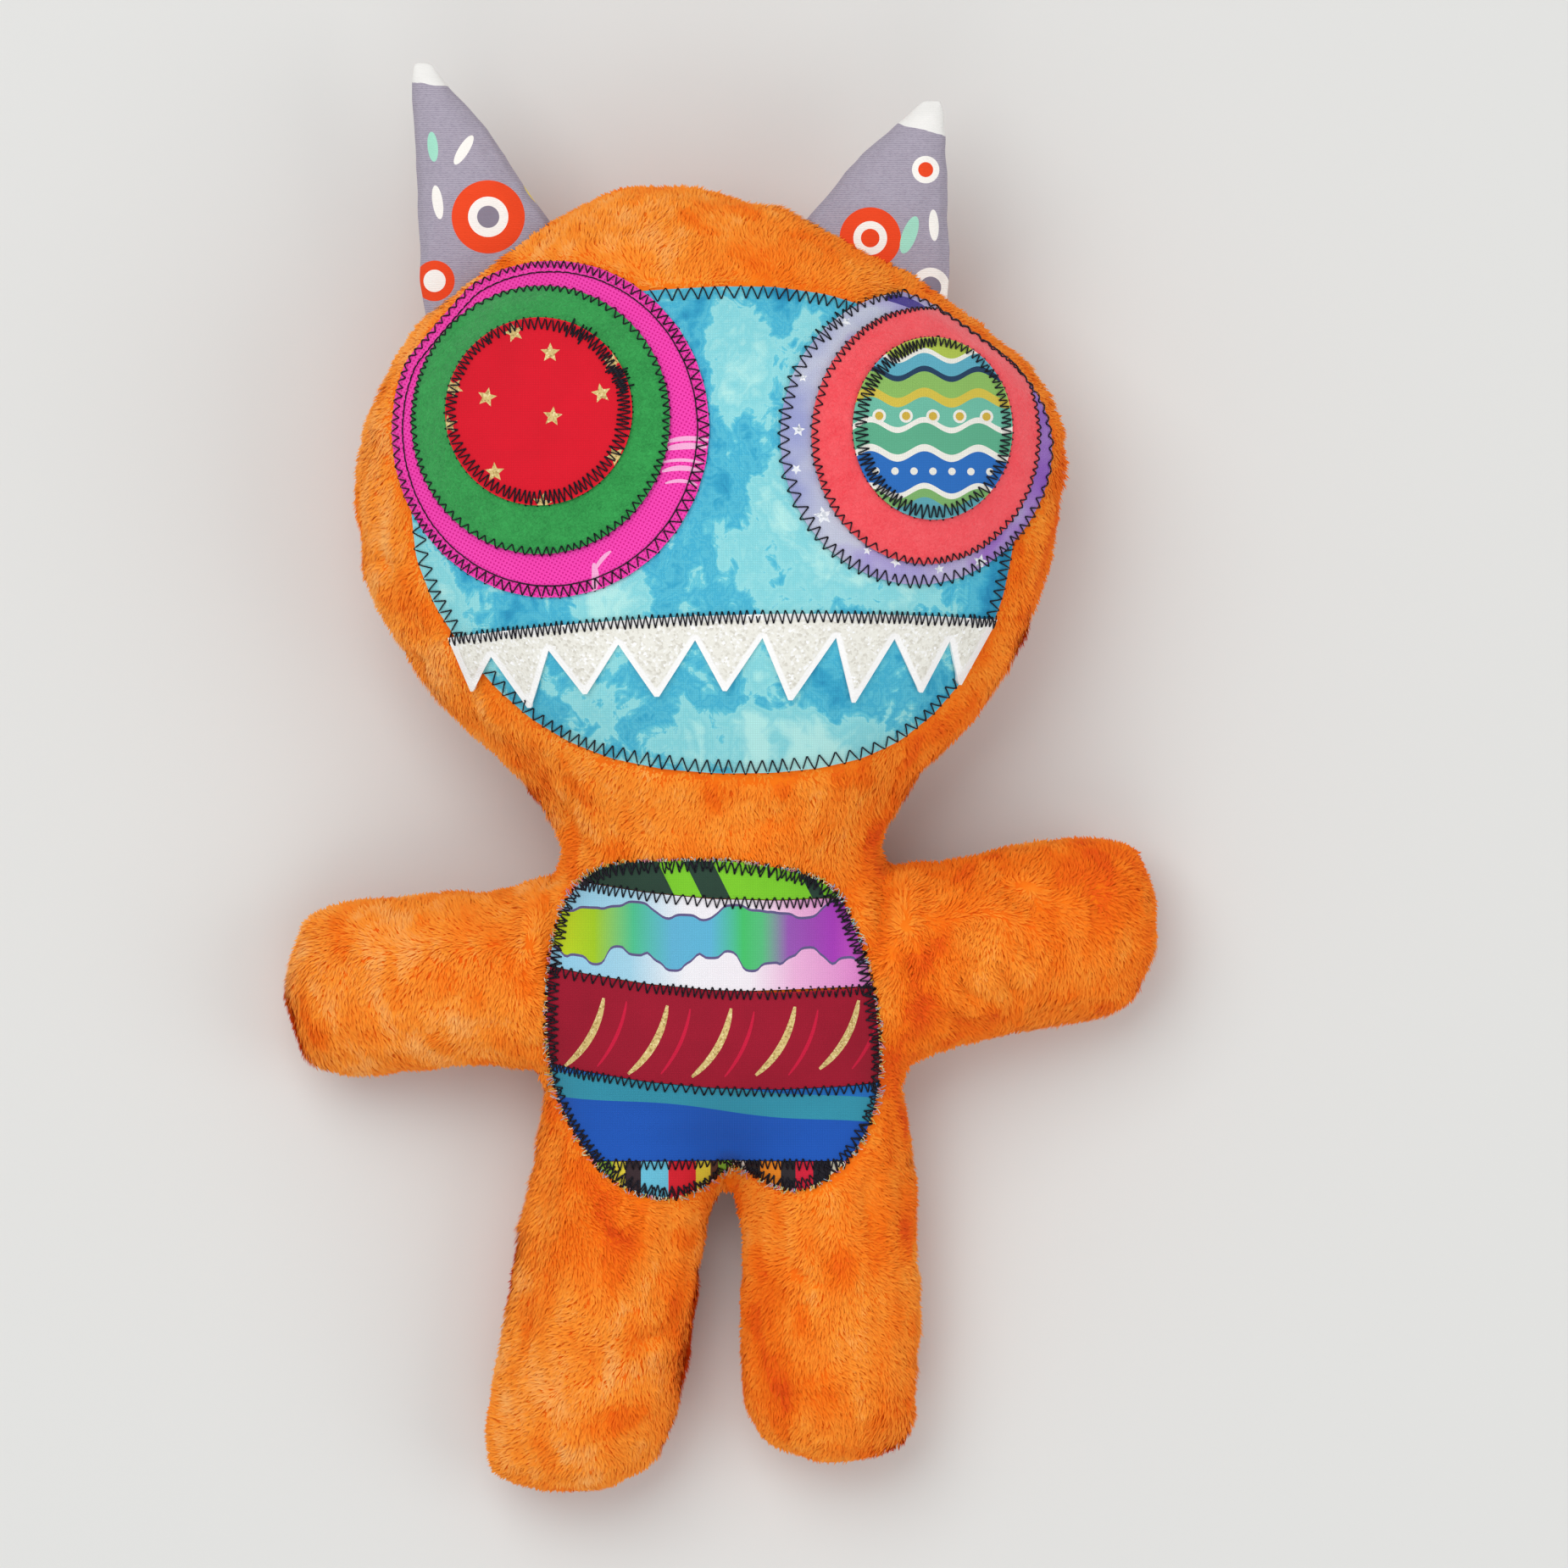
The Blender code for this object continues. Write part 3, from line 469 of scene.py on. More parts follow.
@dataclass(frozen=True)
class BandedFinish(CottonFinish):
    """Printed cotton with level bands, wavy or straight, between two heights of the cloth."""

    bottom: float = 0.0
    top: float = 1.0
    stops: tuple = ()
    wave: float = 0.0  # rise of the waves
    wave_length: float = 0.02
    slope: float = 0.0
    sideways: bool = False
    interpolation: str = "CONSTANT"

    def print_colour(self, tree: NodeTree, place: Any) -> Any:
        """Return the banded colour."""
        split = add_node(tree, "SeparateXYZ", {0: place})
        along, across = split.outputs["X"], split.outputs["Y"]
        if self.sideways:
            along, across = across, along
        angle = add_node(tree, "Math", {
            0: along, 1: math.tau / (self.wave_length * UV_PER_METRE)}, operation="MULTIPLY")
        swing = add_node(tree, "Math", {0: angle}, operation="SINE")
        wave = add_node(tree, "Math", {0: swing, 1: self.wave * UV_PER_METRE, 2: across},
                        operation="MULTIPLY_ADD")
        tilted = add_node(tree, "Math", {0: along, 1: self.slope, 2: wave},
                          operation="MULTIPLY_ADD")
        share = add_node(tree, "MapRange", {
            0: tilted, 1: self.bottom * UV_PER_METRE, 2: self.top * UV_PER_METRE,
            3: 0.0, 4: 1.0})
        return add_node(tree, "ValToRGB", {"Fac": share}, self.stops, self.interpolation)


@dataclass(frozen=True)
class FeltFinish(Finish):
    """Pressed wool felt: matt, with a short tangle of fibres and no threads."""

    colour: str = "#FFFFFF"
    shade: str = "#EEEEEE"
    fibre_mm: float = 1.1

    def dress(self, tree: NodeTree, shader: Node) -> None:
        """Mottle the felt and raise its tangle."""
        place = add_node(tree, "TexCoord").outputs["Object"]
        tangle = add_node(tree, "TexNoise", {
            "Vector": place, "Scale": 1000 / self.fibre_mm, "Detail": 4.0, "Roughness": 0.7,
            "Distortion": 1.5})
        cloud = add_node(tree, "TexNoise", {"Vector": place, "Scale": 160.0})
        blend = add_node(tree, "Math", {0: tangle, 1: 1.9, 2: -0.75}, operation="MULTIPLY_ADD")
        total = add_node(tree, "Math", {0: cloud, 1: 0.6, 2: blend}, operation="MULTIPLY_ADD")
        mix = add_node(tree, "Mix", {0: total, 6: linear(self.shade), 7: linear(self.colour)},
                       data_type="RGBA")
        set_inputs(tree, shader, {
            "Base Color": mix.outputs[2], "Sheen Weight": 0.3, "Sheen Roughness": 0.5,
            "Specular IOR Level": 0.15})
        self.bump(tree, shader, tangle, 0.0005, 0.7)


@dataclass(frozen=True)
class GlitterFinish(Finish):
    """Fine glitter bonded to felt: pearly grains that catch the light one by one."""

    colour: str = "#E6E3DC"
    bright: str = "#FFFFFF"
    dark: str = "#C9C4BC"
    grain_mm: float = 0.7
    rim: float = 0.0  # width of the pressed rim, which has no grain
    rim_colour: str = "#FBFAF8"

    def dress(self, tree: NodeTree, shader: Node) -> None:
        """Give each grain its own brightness and tilt."""
        place = add_node(tree, "TexCoord").outputs["Object"]
        grains = add_node(tree, "TexVoronoi", {
            "Vector": place, "Scale": 1000 / self.grain_mm, "Randomness": 1.0})
        level = add_node(tree, "SeparateColor", {0: grains.outputs["Color"]})
        ramp = add_node(tree, "ValToRGB", {"Fac": level}, (
            (0.0, self.dark), (0.35, self.colour), (0.8, self.colour), (1.0, self.bright)))
        colour = ramp
        if self.rim:
            gap = add_node(tree, "Attribute", attribute_name="rim").outputs["Fac"]
            share = add_node(tree, "MapRange", {
                0: gap, 1: self.rim * 0.75, 2: self.rim, 3: 1.0, 4: 0.0})
            colour = add_node(tree, "Mix", {0: share, 6: colour, 7: linear(self.rim_colour)},
                              data_type="RGBA").outputs[2]
        shine = add_node(tree, "MapRange", {
            0: level.outputs[1], 3: self.roughness - 0.2, 4: self.roughness + 0.2})
        set_inputs(tree, shader, {"Base Color": colour, "Roughness": shine})
        self.bump(tree, shader, grains.outputs["Distance"], 0.0002, 0.8)


@dataclass(frozen=True)
class SatinFinish(CottonFinish):
    """Printed satin: floating threads give a soft gloss over shaded lilac."""

    stops: tuple = ((0.0, "#9CA2D2"), (0.3, "#C6CADC"), (0.45, "#A79CD6"), (0.6, "#BDB4DA"),
                    (0.8, "#A678CE"), (1.0, "#8A4CC0"))
    left: float = 0.01
    right: float = 0.11

    def print_colour(self, tree: NodeTree, place: Any) -> Any:
        """Return the lilac that deepens to the right."""
        split = add_node(tree, "SeparateXYZ", {0: place})
        share = add_node(tree, "MapRange", {
            0: split.outputs["X"], 1: self.left * UV_PER_METRE, 2: self.right * UV_PER_METRE,
            3: 0.0, 4: 1.0})
        cloud = add_node(tree, "TexNoise", {"Vector": place, "Scale": 7.0, "Detail": 2.0})
        total = add_node(tree, "Math", {0: cloud, 1: 0.7, 2: share}, operation="MULTIPLY_ADD")
        centred = add_node(tree, "Math", {0: total, 1: 0.35}, operation="SUBTRACT")
        return add_node(tree, "ValToRGB", {"Fac": centred}, self.stops)


@dataclass(frozen=True)
class ThreadFinish(Finish):
    """Twisted polyester sewing thread: two plies, each with a narrow painted highlight."""

    colour: str = "#0C0A12"
    # the lighter colour: a painted highlight on each ply
    shade: str = "#1E1B28"
    ply_mm: float = 0.8

    def dress(self, tree: NodeTree, shader: Node) -> None:
        """Band the thread by its twist: the lighter bands are a painted highlight on each ply."""
        place = add_node(tree, "TexCoord").outputs["Object"]
        twist = add_node(tree, "TexWave", {
            "Vector": place, "Scale": math.pi * 100 / self.ply_mm}, bands_direction="DIAGONAL")
        mix = add_node(tree, "Mix", {
            0: twist.outputs["Fac"], 6: linear(self.colour), 7: linear(self.shade)},
            data_type="RGBA")
        set_inputs(tree, shader, {"Base Color": mix.outputs[2], "Specular IOR Level": 0.2})


@dataclass(frozen=True)
class Blob:
    """A printed oval: its middle, its half width and half height, its turn and its colour."""

    middle: Place
    half: Place
    turn: float
    colour: str


@dataclass(frozen=True)
class EarPrintFinish(Finish):
    """Cotton twill printed in grey-mauve, with a white tip and rounded shapes."""

    ground: str = "#B2AAB8"
    shade: str = "#7C7488"
    tip: str = "#F2F0EC"
    tip_line: tuple = (0.0, 0.0, 0.0)  # direction in x and y, and where the white begins
    blobs: tuple = ()
    twill_mm: float = 0.65  # real twill lines are 0.4 mm apart, drawn coarser so that they show

    def dress(self, tree: NodeTree, shader: Node) -> None:
        """Print the shapes over the twill."""
        place = add_node(tree, "TexCoord").outputs["Object"]
        twill = add_node(tree, "TexWave", {
            "Vector": place, "Scale": math.pi * 100 / self.twill_mm, "Distortion": 2.5,
            "Detail": 2.0, "Detail Scale": 3.0}, bands_direction="Y").outputs["Fac"]
        worn = add_node(tree, "TexNoise", {"Vector": place, "Scale": 900.0})
        uneven = add_node(tree, "Math", {0: twill, 1: worn}, operation="MULTIPLY")
        colour = add_node(tree, "Mix", {0: uneven, 6: linear(self.ground), 7: linear(self.shade)},
                          data_type="RGBA").outputs[2]
        for blob in self.blobs:
            moved = add_node(tree, "Mapping", {
                "Vector": place, "Location": (*blob.middle, 0.0),
                "Rotation": (0.0, 0.0, blob.turn), "Scale": (*blob.half, 1000.0)},
                vector_type="TEXTURE")
            reach = add_node(tree, "VectorMath", {0: moved}, operation="LENGTH")
            inside = add_node(tree, "Math", {0: reach.outputs["Value"], 1: 1.0},
                              operation="LESS_THAN")
            colour = add_node(tree, "Mix", {0: inside, 6: colour, 7: linear(blob.colour)},
                              data_type="RGBA").outputs[2]
        along = add_node(tree, "VectorMath", {
            0: place, 1: (self.tip_line[0], self.tip_line[1], 0.0)}, operation="DOT_PRODUCT")
        edge = add_node(tree, "TexNoise", {"Vector": place, "Scale": 90.0})
        ragged = add_node(tree, "Math", {0: edge, 1: 0.004, 2: along.outputs["Value"]},
                          operation="MULTIPLY_ADD")
        white = add_node(tree, "Math", {0: ragged, 1: self.tip_line[2]}, operation="GREATER_THAN")
        colour = add_node(tree, "Mix", {
            0: white, 6: colour, 7: linear(self.tip)}, data_type="RGBA").outputs[2]
        set_inputs(tree, shader, {"Base Color": colour, "Specular IOR Level": 0.25})
        self.bump(tree, shader, twill, 0.0001, 0.5)


@dataclass(frozen=True)
class StageFinish(Finish):
    """Smooth pale card that shows the doll's shadow and stays evenly pale far from it."""

    colour: str = "#DEDEDB"
    far_colour: str = "#E2E2E0"
    near: float = 0.6
    far: float = 2.0

    def dress(self, tree: NodeTree, shader: Node) -> None:
        """Give the card its colour, and its far parts an even tone for the camera."""
        set_inputs(tree, shader, {"Base Color": linear(self.colour)})
        place = add_node(tree, "TexCoord").outputs["Object"]
        reach = add_node(tree, "VectorMath", {0: place}, operation="LENGTH")
        share = add_node(tree, "MapRange", {
            0: reach.outputs["Value"], 1: self.near, 2: self.far, 3: 0.0, 4: 1.0})
        seen = add_node(tree, "Math", {
            0: add_node(tree, "LightPath").outputs["Is Camera Ray"],
            1: share}, operation="MULTIPLY")
        even = add_node(tree, "Emission", {"Color": linear(self.far_colour)})
        mix = add_node(tree, "MixShader", {0: seen, 1: shader, 2: even})
        set_inputs(tree, tree.nodes["Material Output"], {"Surface": mix})


class Outline:
    """A closed outline on the cloth, seen from above and anticlockwise."""

    def __init__(self, points: Sequence) -> None:
        """Keep the points in anticlockwise order.

        Args:
            points: Rows of x and y.
        """
        rows = np.asarray(points, dtype=float)
        after = np.roll(rows, -1, axis=0)
        area = np.sum(rows[:, 0] * after[:, 1] - after[:, 0] * rows[:, 1])
        self.points = rows if area > 0 else rows[::-1].copy()

    @classmethod
    def of_node(cls, node: str, spacing: float = 0.0012, corner: float = 30.0) -> "Outline":
        """Read the outline of a patch from the top of its solid.

        Args:
            node: The patch's node.
            spacing: Distance between the points of the result.
            corner: Turn in degrees from which a point is kept as a sharp corner.

        Returns:
            The smoothed outline.
        """
        mesh = frame["nodes"][node].data
        points = coordinates(frame["nodes"][node])
        keys = np.round(points * 1e5).astype(np.int64)
        _, first, index = np.unique(keys, axis=0, return_index=True, return_inverse=True)
        index = index.ravel()
        directed = set()
        for polygon in mesh.polygons:
            if polygon.normal.z > 0.02:
                corners = [int(index[vertex]) for vertex in polygon.vertices]
                directed.update(zip(corners, corners[1:] + corners[:1]))
        following = {a: b for a, b in directed if (b, a) not in directed}
        loops = []
        while following:
            start = next(iter(following))
            loop = [start]
            while following.get(loop[-1], start) != start:
                loop.append(following[loop[-1]])
            for vertex in loop:
                following.pop(vertex, None)
            loops.append(loop)
        longest = max(loops, key=len)
        flat = points[first[longest]][:, :2]
        return cls(flat).evened(spacing, corner)

    def evened(self, spacing: float, corner: float) -> "Outline":
        """Space the points evenly and smooth them between the sharp corners."""
        rows = self.points
        rows = rows[np.linalg.norm(rows - np.roll(rows, 1, axis=0), axis=1) > 0.0002]
        before = rows - np.roll(rows, 1, axis=0)
        after = np.roll(rows, -1, axis=0) - rows
        turn = np.degrees(np.arctan2(
            before[:, 0] * after[:, 1] - before[:, 1] * after[:, 0],
            np.sum(before * after, axis=1)))
        corners = np.flatnonzero(np.abs(turn) > corner)
        if not len(corners):
            return Outline(smoothed(resampled(rows, spacing, True), 5, True))
        pieces = []
        for number, start in enumerate(corners):
            end = corners[(number + 1) % len(corners)]
            count = (end - start) % len(rows) or len(rows)
            span = rows[(start + np.arange(count + 1)) % len(rows)]
            even = resampled(span, spacing, False)
            pieces.append(smoothed(even, 4, False)[:-1])
        return Outline(np.concatenate(pieces))

    def inside(self, places: Rows) -> Rows:
        """Tell which places lie inside the outline."""
        within = np.zeros(len(places), dtype=bool)
        x, y = places[:, 0], places[:, 1]
        for start, end in zip(self.points, np.roll(self.points, -1, axis=0)):
            if start[1] == end[1]:
                continue
            crosses = (start[1] > y) != (end[1] > y)
            reach = start[0] + (y - start[1]) / (end[1] - start[1]) * (end[0] - start[0])
            within ^= crosses & (reach > x)
        return within

    def distance(self, places: Rows) -> Rows:
        """Return how far each place lies from the nearest edge."""
        nearest = np.full(len(places), np.inf)
        for start, end in zip(self.points, np.roll(self.points, -1, axis=0)):
            edge = end - start
            length = max(float(edge @ edge), 1e-14)
            share = np.clip((places - start) @ edge / length, 0, 1)
            gap = places - start - share[:, None] * edge
            nearest = np.minimum(nearest, np.einsum("ij,ij->i", gap, gap))
        return np.sqrt(nearest)

    def box(self) -> tuple[Rows, Rows]:
        """Return the lowest and the highest x and y."""
        return self.points.min(axis=0), self.points.max(axis=0)


def resampled(rows: Rows, spacing: float, closed: bool) -> Rows:
    """Return evenly spaced points along a line or a loop."""
    if closed:
        rows = np.vstack([rows, rows[:1]])
    steps = np.linalg.norm(np.diff(rows, axis=0), axis=1)
    reach = np.concatenate([[0.0], np.cumsum(steps)])
    count = max(1, int(round(reach[-1] / spacing)))
    places = np.linspace(0, reach[-1], count + 1)
    even = np.column_stack([np.interp(places, reach, column) for column in rows.T])
    return even[:-1] if closed else even


def smoothed(rows: Rows, rounds: int, closed: bool) -> Rows:
    """Return the points with each drawn towards its neighbours, the ends of a line kept."""
    for _ in range(rounds):
        mean = (np.roll(rows, 1, axis=0) + np.roll(rows, -1, axis=0)) / 4 + rows / 2
        if not closed:
            mean[0], mean[-1] = rows[0], rows[-1]
        rows = mean
    return rows


def patch_gap(points: Rows, normals: Rows, patches: Sequence[Outline]) -> Rows:
    """Return how far each point lies outside the patches, negative under them.

    Args:
        points: Rows of x, y and z.
        normals: The surface's direction at each point.
        patches: The outlines as seen from above.

    Returns:
        One distance for each point, 1 on the doll's back.
    """
    front = normals[:, 2] > 0.0
    flat = points[front][:, :2]
    gap = np.full(len(flat), 1.0)
    for outline in patches:
        away = outline.distance(flat)
        gap = np.minimum(gap, np.where(outline.inside(flat), -away, away))
    result = np.full(len(points), 1.0)
    result[front] = gap
    return result


class Surface:
    """A surface on which cloth and thread are laid from above."""

    def __init__(self, *items: Object) -> None:
        """Take in the triangles of one or more objects."""
        points, normals, triangles = [], [], []
        for item in items:
            item.data.calc_loop_triangles()
            corners = read_rows(item.data.loop_triangles, "vertices", 3, np.int32)
            triangles.append(corners + sum(len(block) for block in points))
            points.append(coordinates(item))
            normals.append(point_normals(item))
        self.points = np.concatenate(points)
        self.normals = np.concatenate(normals)
        self.triangles = np.concatenate(triangles)
        self.tree = BVHTree.FromPolygons(self.points.tolist(), self.triangles.tolist())

    def drop(self, x: float, y: float) -> tuple[Rows, Rows]:
        """Find the surface under a place seen from above.

        Args:
            x: Place along X.
            y: Place along Y.

        Returns:
            The point and the smooth normal there.
        """
        place, _, number, _ = self.tree.ray_cast(Vector((x, y, 1.0)), Vector((0, 0, -1)))
        if place is None or place.z < LOWEST_CLOTH:
            place, _, number, _ = self.tree.find_nearest(Vector((x, y, 0.05)))
        a, b, c = self.triangles[number]
        gaps = np.linalg.norm(self.points[[a, b, c]] - np.array(place), axis=1) + 1e-6
        weights = 1 / gaps
        normal = unit((weights / weights.sum()) @ self.normals[[a, b, c]])
        return np.array(place), normal


@dataclass
class Motif:
    """A shape printed on a patch and the finish that fills it."""

    loop: Rows
    finish: Finish


def star(middle: Sequence[float], radius: float, turn: float, points: int = 5) -> Rows:
    """Return the outline of a star."""
    angles = turn + np.arange(2 * points) * math.pi / points
    reach = np.where(np.arange(2 * points) % 2 == 0, radius, radius * 0.45)
    return np.column_stack([middle[0] + reach * np.cos(angles), middle[1] + reach * np.sin(angles)])


def stroke(start: Place, bend: Place, end: Place, width: float) -> Rows:
    """Return the outline of a curved brush stroke that narrows to its ends."""
    t = np.linspace(0, 1, 12)[:, None]
    start, bend, end = (np.asarray(place, dtype=float) for place in (start, bend, end))
    line = (1 - t) ** 2 * start + 2 * t * (1 - t) * bend + t * t * end
    along = unit(np.gradient(line, axis=0))
    side = np.column_stack([-along[:, 1], along[:, 0]])
    half = width / 2 * (0.35 + 0.65 * np.sin(math.pi * t) ** 0.6)
    return np.vstack([line + side * half, (line - side * half)[::-1]])


def quad(left: float, right: float, bottom: float, top: float, lean: float = 0.0) -> Rows:
    """Return the outline of a block whose top is shifted sideways by a lean."""
    return np.array([(left, bottom), (right, bottom), (right + lean, top), (left + lean, top)])


@dataclass
class Patch:
    """A piece of cloth cut to an outline and laid on the doll."""

    name: str
    node: str
    slot: str
    low: float
    high: float
    finish: Finish
    motifs: list[Motif] = field(default_factory=list)
    spacing: float = 0.0024
    rests_on: tuple[str, ...] = ("plush_body",)
    outline: Optional[Outline] = None
    rim: float = 0.0  # width of the bevelled rim
    lift: float = 0.0  # how far the free edge stands off

    def build(self, skin: Surface) -> Object:
        """Cut the cloth, lay it on the skin and give it its thickness.

        Args:
            skin: The plush body's surface.

        Returns:
            The finished piece.
        """
        self.outline = self.outline or Outline.of_node(self.node)
        flat, faces = self.cut()
        gaps = self.outline.distance(flat)
        laid = []
        for (x, y), gap in zip(flat, gaps):
            place, normal = skin.drop(x, y)
            laid.append((x, y, place[2] + self.height(x, y, gap) / max(normal[2], STEEPEST)))
        laid = np.array(laid)
        item = new_mesh_object(self.name, laid, faces)
        middles = flat[np.array(faces)].mean(axis=1)
        number = np.zeros(len(faces), dtype=np.int32)
        for index, motif in enumerate(self.motifs):
            number[Outline(motif.loop).inside(middles)] = index + 1
        item.data.polygons.foreach_set("material_index", self.finish_numbers(number))
        self.declare()
        apply_modifier(item, "thickness", "SOLIDIFY", thickness=self.high - self.low, offset=-1.0)
        bpy.ops.object.shade_smooth_by_angle(angle=math.radians(45))
        keep_values(item, "rim", np.tile(gaps, 2).astype(np.float32))
        lay_cloth_map(item)
        show(item, self.finishes(), (self.node,))
        return item

    def height(self, x: float, y: float, gap: float) -> float:
        """Return how high the cloth's top lies over the skin at a place."""
        return self.high

    def finishes(self) -> list[Finish]:
        """Return the patch's finishes, each once."""
        found = [self.finish]
        for motif in self.motifs:
            if motif.finish not in found:
                found.append(motif.finish)
        return found

    def finish_numbers(self, motif_numbers: Rows) -> Rows:
        """Turn the number of each face's motif into the number of its finish."""
        found = self.finishes()
        table = np.array([0] + [found.index(motif.finish) for motif in self.motifs])
        return table[motif_numbers].astype(np.int32)

    def cut(self) -> tuple[Rows, list]:
        """Cut the flat cloth into triangles along its outline and its printed shapes.

        Returns:
            The flat points and the triangles.
        """
        loops = [self.outline.points] + [motif.loop for motif in self.motifs]
        points, edges = [], []
        for loop in loops:
            first = len(points)
            points += [tuple(row) for row in loop * 1000]
            count = len(loop)
            edges += [(first + k, first + (k + 1) % count) for k in range(count)]
        low, high = self.outline.box()
        row_step = self.spacing * math.sqrt(3) / 2
        grid = []
        for row, y in enumerate(np.arange(low[1], high[1], row_step)):
            shift = self.spacing / 2 if row % 2 else 0.0
            grid += [(x + shift, y) for x in np.arange(low[0], high[0], self.spacing)]
        grid = np.array(grid)
        grid = grid[self.outline.inside(grid)]
        keep = self.outline.distance(grid) > self.spacing * 0.4
        for motif in self.motifs:
            keep &= Outline(motif.loop).distance(grid) > self.spacing * 0.25
        points += [tuple(row) for row in grid[keep] * 1000]
        result = delaunay_2d_cdt([Vector(p) for p in points], edges, [], 1, 1e-4, False)
        flat = np.array([tuple(p) for p in result[0]]) / 1000
        faces = [tuple(face) for face in result[2]]
        middles = flat[np.array(faces)].mean(axis=1)
        inside = self.outline.inside(middles)
        return flat, [face for face, keep_face in zip(faces, inside) if keep_face]

    def declare(self) -> None:
        """Work out the lowest and highest x and y of the cut cloth; nothing uses them.
        """
        low, high = self.outline.box()


@dataclass
class ToothStrip(Patch):
    """The strip of teeth: thick bonded felt with a pressed rim and a free lower edge."""

    def height(self, x: float, y: float, gap: float) -> float:
        """Return the height, lower at the pressed rim and lifted along the free points."""
        top = self.outline.points[:, 1].max()
        free = min(max((top - y - 0.008) / 0.018, 0.0), 1.0)
        dip = 0.0004 * (1 - min(gap / self.rim, 1.0) ** 2)
        return self.high + self.lift * free - dip


class ZigZag(Enum):
    """How a row is sewn: reach past the edge, reach into the cloth, and length of one zigzag."""

    WIDE = (0.0002, 0.0034, 0.0031)
    BORDER = (0.0003, 0.0050, 0.0038)
    LOOSE = (0.0012, 0.0029, 0.0037)
    FELT = (0.0005, 0.0021, 0.0029)
    DENSE = (0.0004, 0.0046, 0.0021)
    MOUTH = (0.0012, 0.0030, 0.0021)
    JOIN = (0.0007, 0.0030, 0.0025)
    RIM = (0.0008, 0.0038, 0.0026)


@dataclass
class Thread:
    """Rows of sewing thread, gathered into one piece for each part of the doll."""

    name: str
    surface: Surface
    skin: Surface
    radius: float = 0.00023
    sides: int = 5
    seed: int = 1
    fine_step: float = 0.0004  # how closely an edge is followed
    knot_reach: float = 0.005  # how far round a knot the stitches crowd
    blocks: list = field(default_factory=list)

    def __post_init__(self) -> None:
        """Start the thread's own sequence of small irregularities."""
        self.random = np.random.default_rng(self.seed)

    def zigzag(self, line: Rows, closed: bool, style: ZigZag,
               hidden: Sequence[Outline] = (), knots: Sequence = ()) -> None:
        """Sew a zigzag along a line.

        Args:
            line: The edge's points; a closed one runs anticlockwise.
            closed: Whether the line is a loop.
            style: The size of the stitches.
            hidden: Outlines under which nothing is sewn.
            knots: Places where the stitches crowd together.
        """
        outer, inner, length = style.value
        fine = resampled(line, self.fine_step, closed)
        across = self.inward(fine, closed)
        total = len(fine) * self.fine_step
        stations = [0.0]
        drift = self.random.uniform(0, math.tau, 2)
        while stations[-1] < total:
            index = min(int(stations[-1] / self.fine_step), len(fine) - 1)
            crowd = self.crowded(fine[index], knots)
            step = length / 2 * (0.55 if crowd else 1.0) * self.random.uniform(0.82, 1.18)
            step *= self.seen_share(fine[index], across[index][::-1] * (1, -1))
            step *= 1 + 0.14 * math.sin(stations[-1] / 0.009 + drift[0])
            step *= 1 + 0.12 * math.sin(stations[-1] / 0.023 + drift[1])
            stations.append(stations[-1] + step)
        tips = []
        for number, station in enumerate(stations[:-1]):
            index = min(int(station / self.fine_step), len(fine) - 1)
            reach = -outer if number % 2 == 0 else inner
            loose = 0.0016 if self.crowded(fine[index], knots) else 0.0003
            reach += self.random.uniform(-loose, loose)
            reach *= self.seen_share(fine[index], across[index])
            tips.append(fine[index] + across[index] * reach)
        if closed:
            tips.append(tips[0])
        self.lay_legs(np.array(tips), hidden)

    def crowded(self, place: Rows, knots: Sequence) -> bool:
        """Tell whether a place lies near a knot."""
        return any(math.dist(place, knot) < self.knot_reach for knot in knots)

    def seen_share(self, place: Rows, direction: Rows) -> float:
        """Return how much of a length along the sloping skin shows from above.

        Args:
            place: Where on the skin, in x and y.
            direction: Which way the length runs, in x and y.

        Returns:
            A share from 0 to 1.
        """
        _, normal = self.skin.drop(*place)
        slope = normal[:2] @ direction / max(normal[2], 0.25)
        return 1 / math.sqrt(1 + slope ** 2)

    @staticmethod
    def inward(fine: Rows, closed: bool) -> Rows:
        """Return the directions to the left of a line, evened along it."""
        if closed:
            along = np.roll(fine, -4, axis=0) - np.roll(fine, 4, axis=0)
        else:
            along = np.gradient(fine, axis=0)
        along = unit(along)
        across = np.column_stack([-along[:, 1], along[:, 0]])
        return unit(smoothed(across, 6, closed))

    def lay_legs(self, tips: Rows, hidden: Sequence[Outline]) -> None:
        """Lay the legs of a zigzag between its tips, leaving out the hidden ones."""
        middles = (tips[:-1] + tips[1:]) / 2
        covered = np.zeros(len(middles), dtype=bool)
        for outline in hidden:
            covered |= outline.inside(middles)
        path: list = []
        for number, (start, end) in enumerate(zip(tips[:-1], tips[1:])):
            if covered[number]:
                self.add_tube(path)
                path = []
                continue
            for share, rise in ((0.05, 0.0), (0.35, 0.0002), (0.65, 0.0002), (0.95, 0.0)):
                place = start + (end - start) * share
                path.append((place[0], place[1], rise))
        self.add_tube(path)

    def line(self, line: Rows, closed: bool, stitch: float = 0.0028) -> None:
        """Sew a straight row whose stitches dip into the cloth at their ends."""
        rows = resampled(line, stitch / 4, closed)
        rises = np.where(np.arange(len(rows)) % 4 == 0, -0.0002, 0.0001)
        path = [(x, y, rise) for (x, y), rise in zip(rows, rises)]
        self.add_tube(path + path[:1] if closed else path)

    def add_tube(self, path: list) -> None:
        """Drop a path onto the surface and sweep the thread along it."""
        if len(path) < 4:
            return
        centres, ups = [], []
        for x, y, rise in path:
            place, normal = self.surface.drop(x, y)
            centres.append(place + normal * (self.radius * 0.8 + rise))
            ups.append(normal)
        self.blocks.append(sweep(np.array(centres), np.array(ups), self.radius, self.sides))

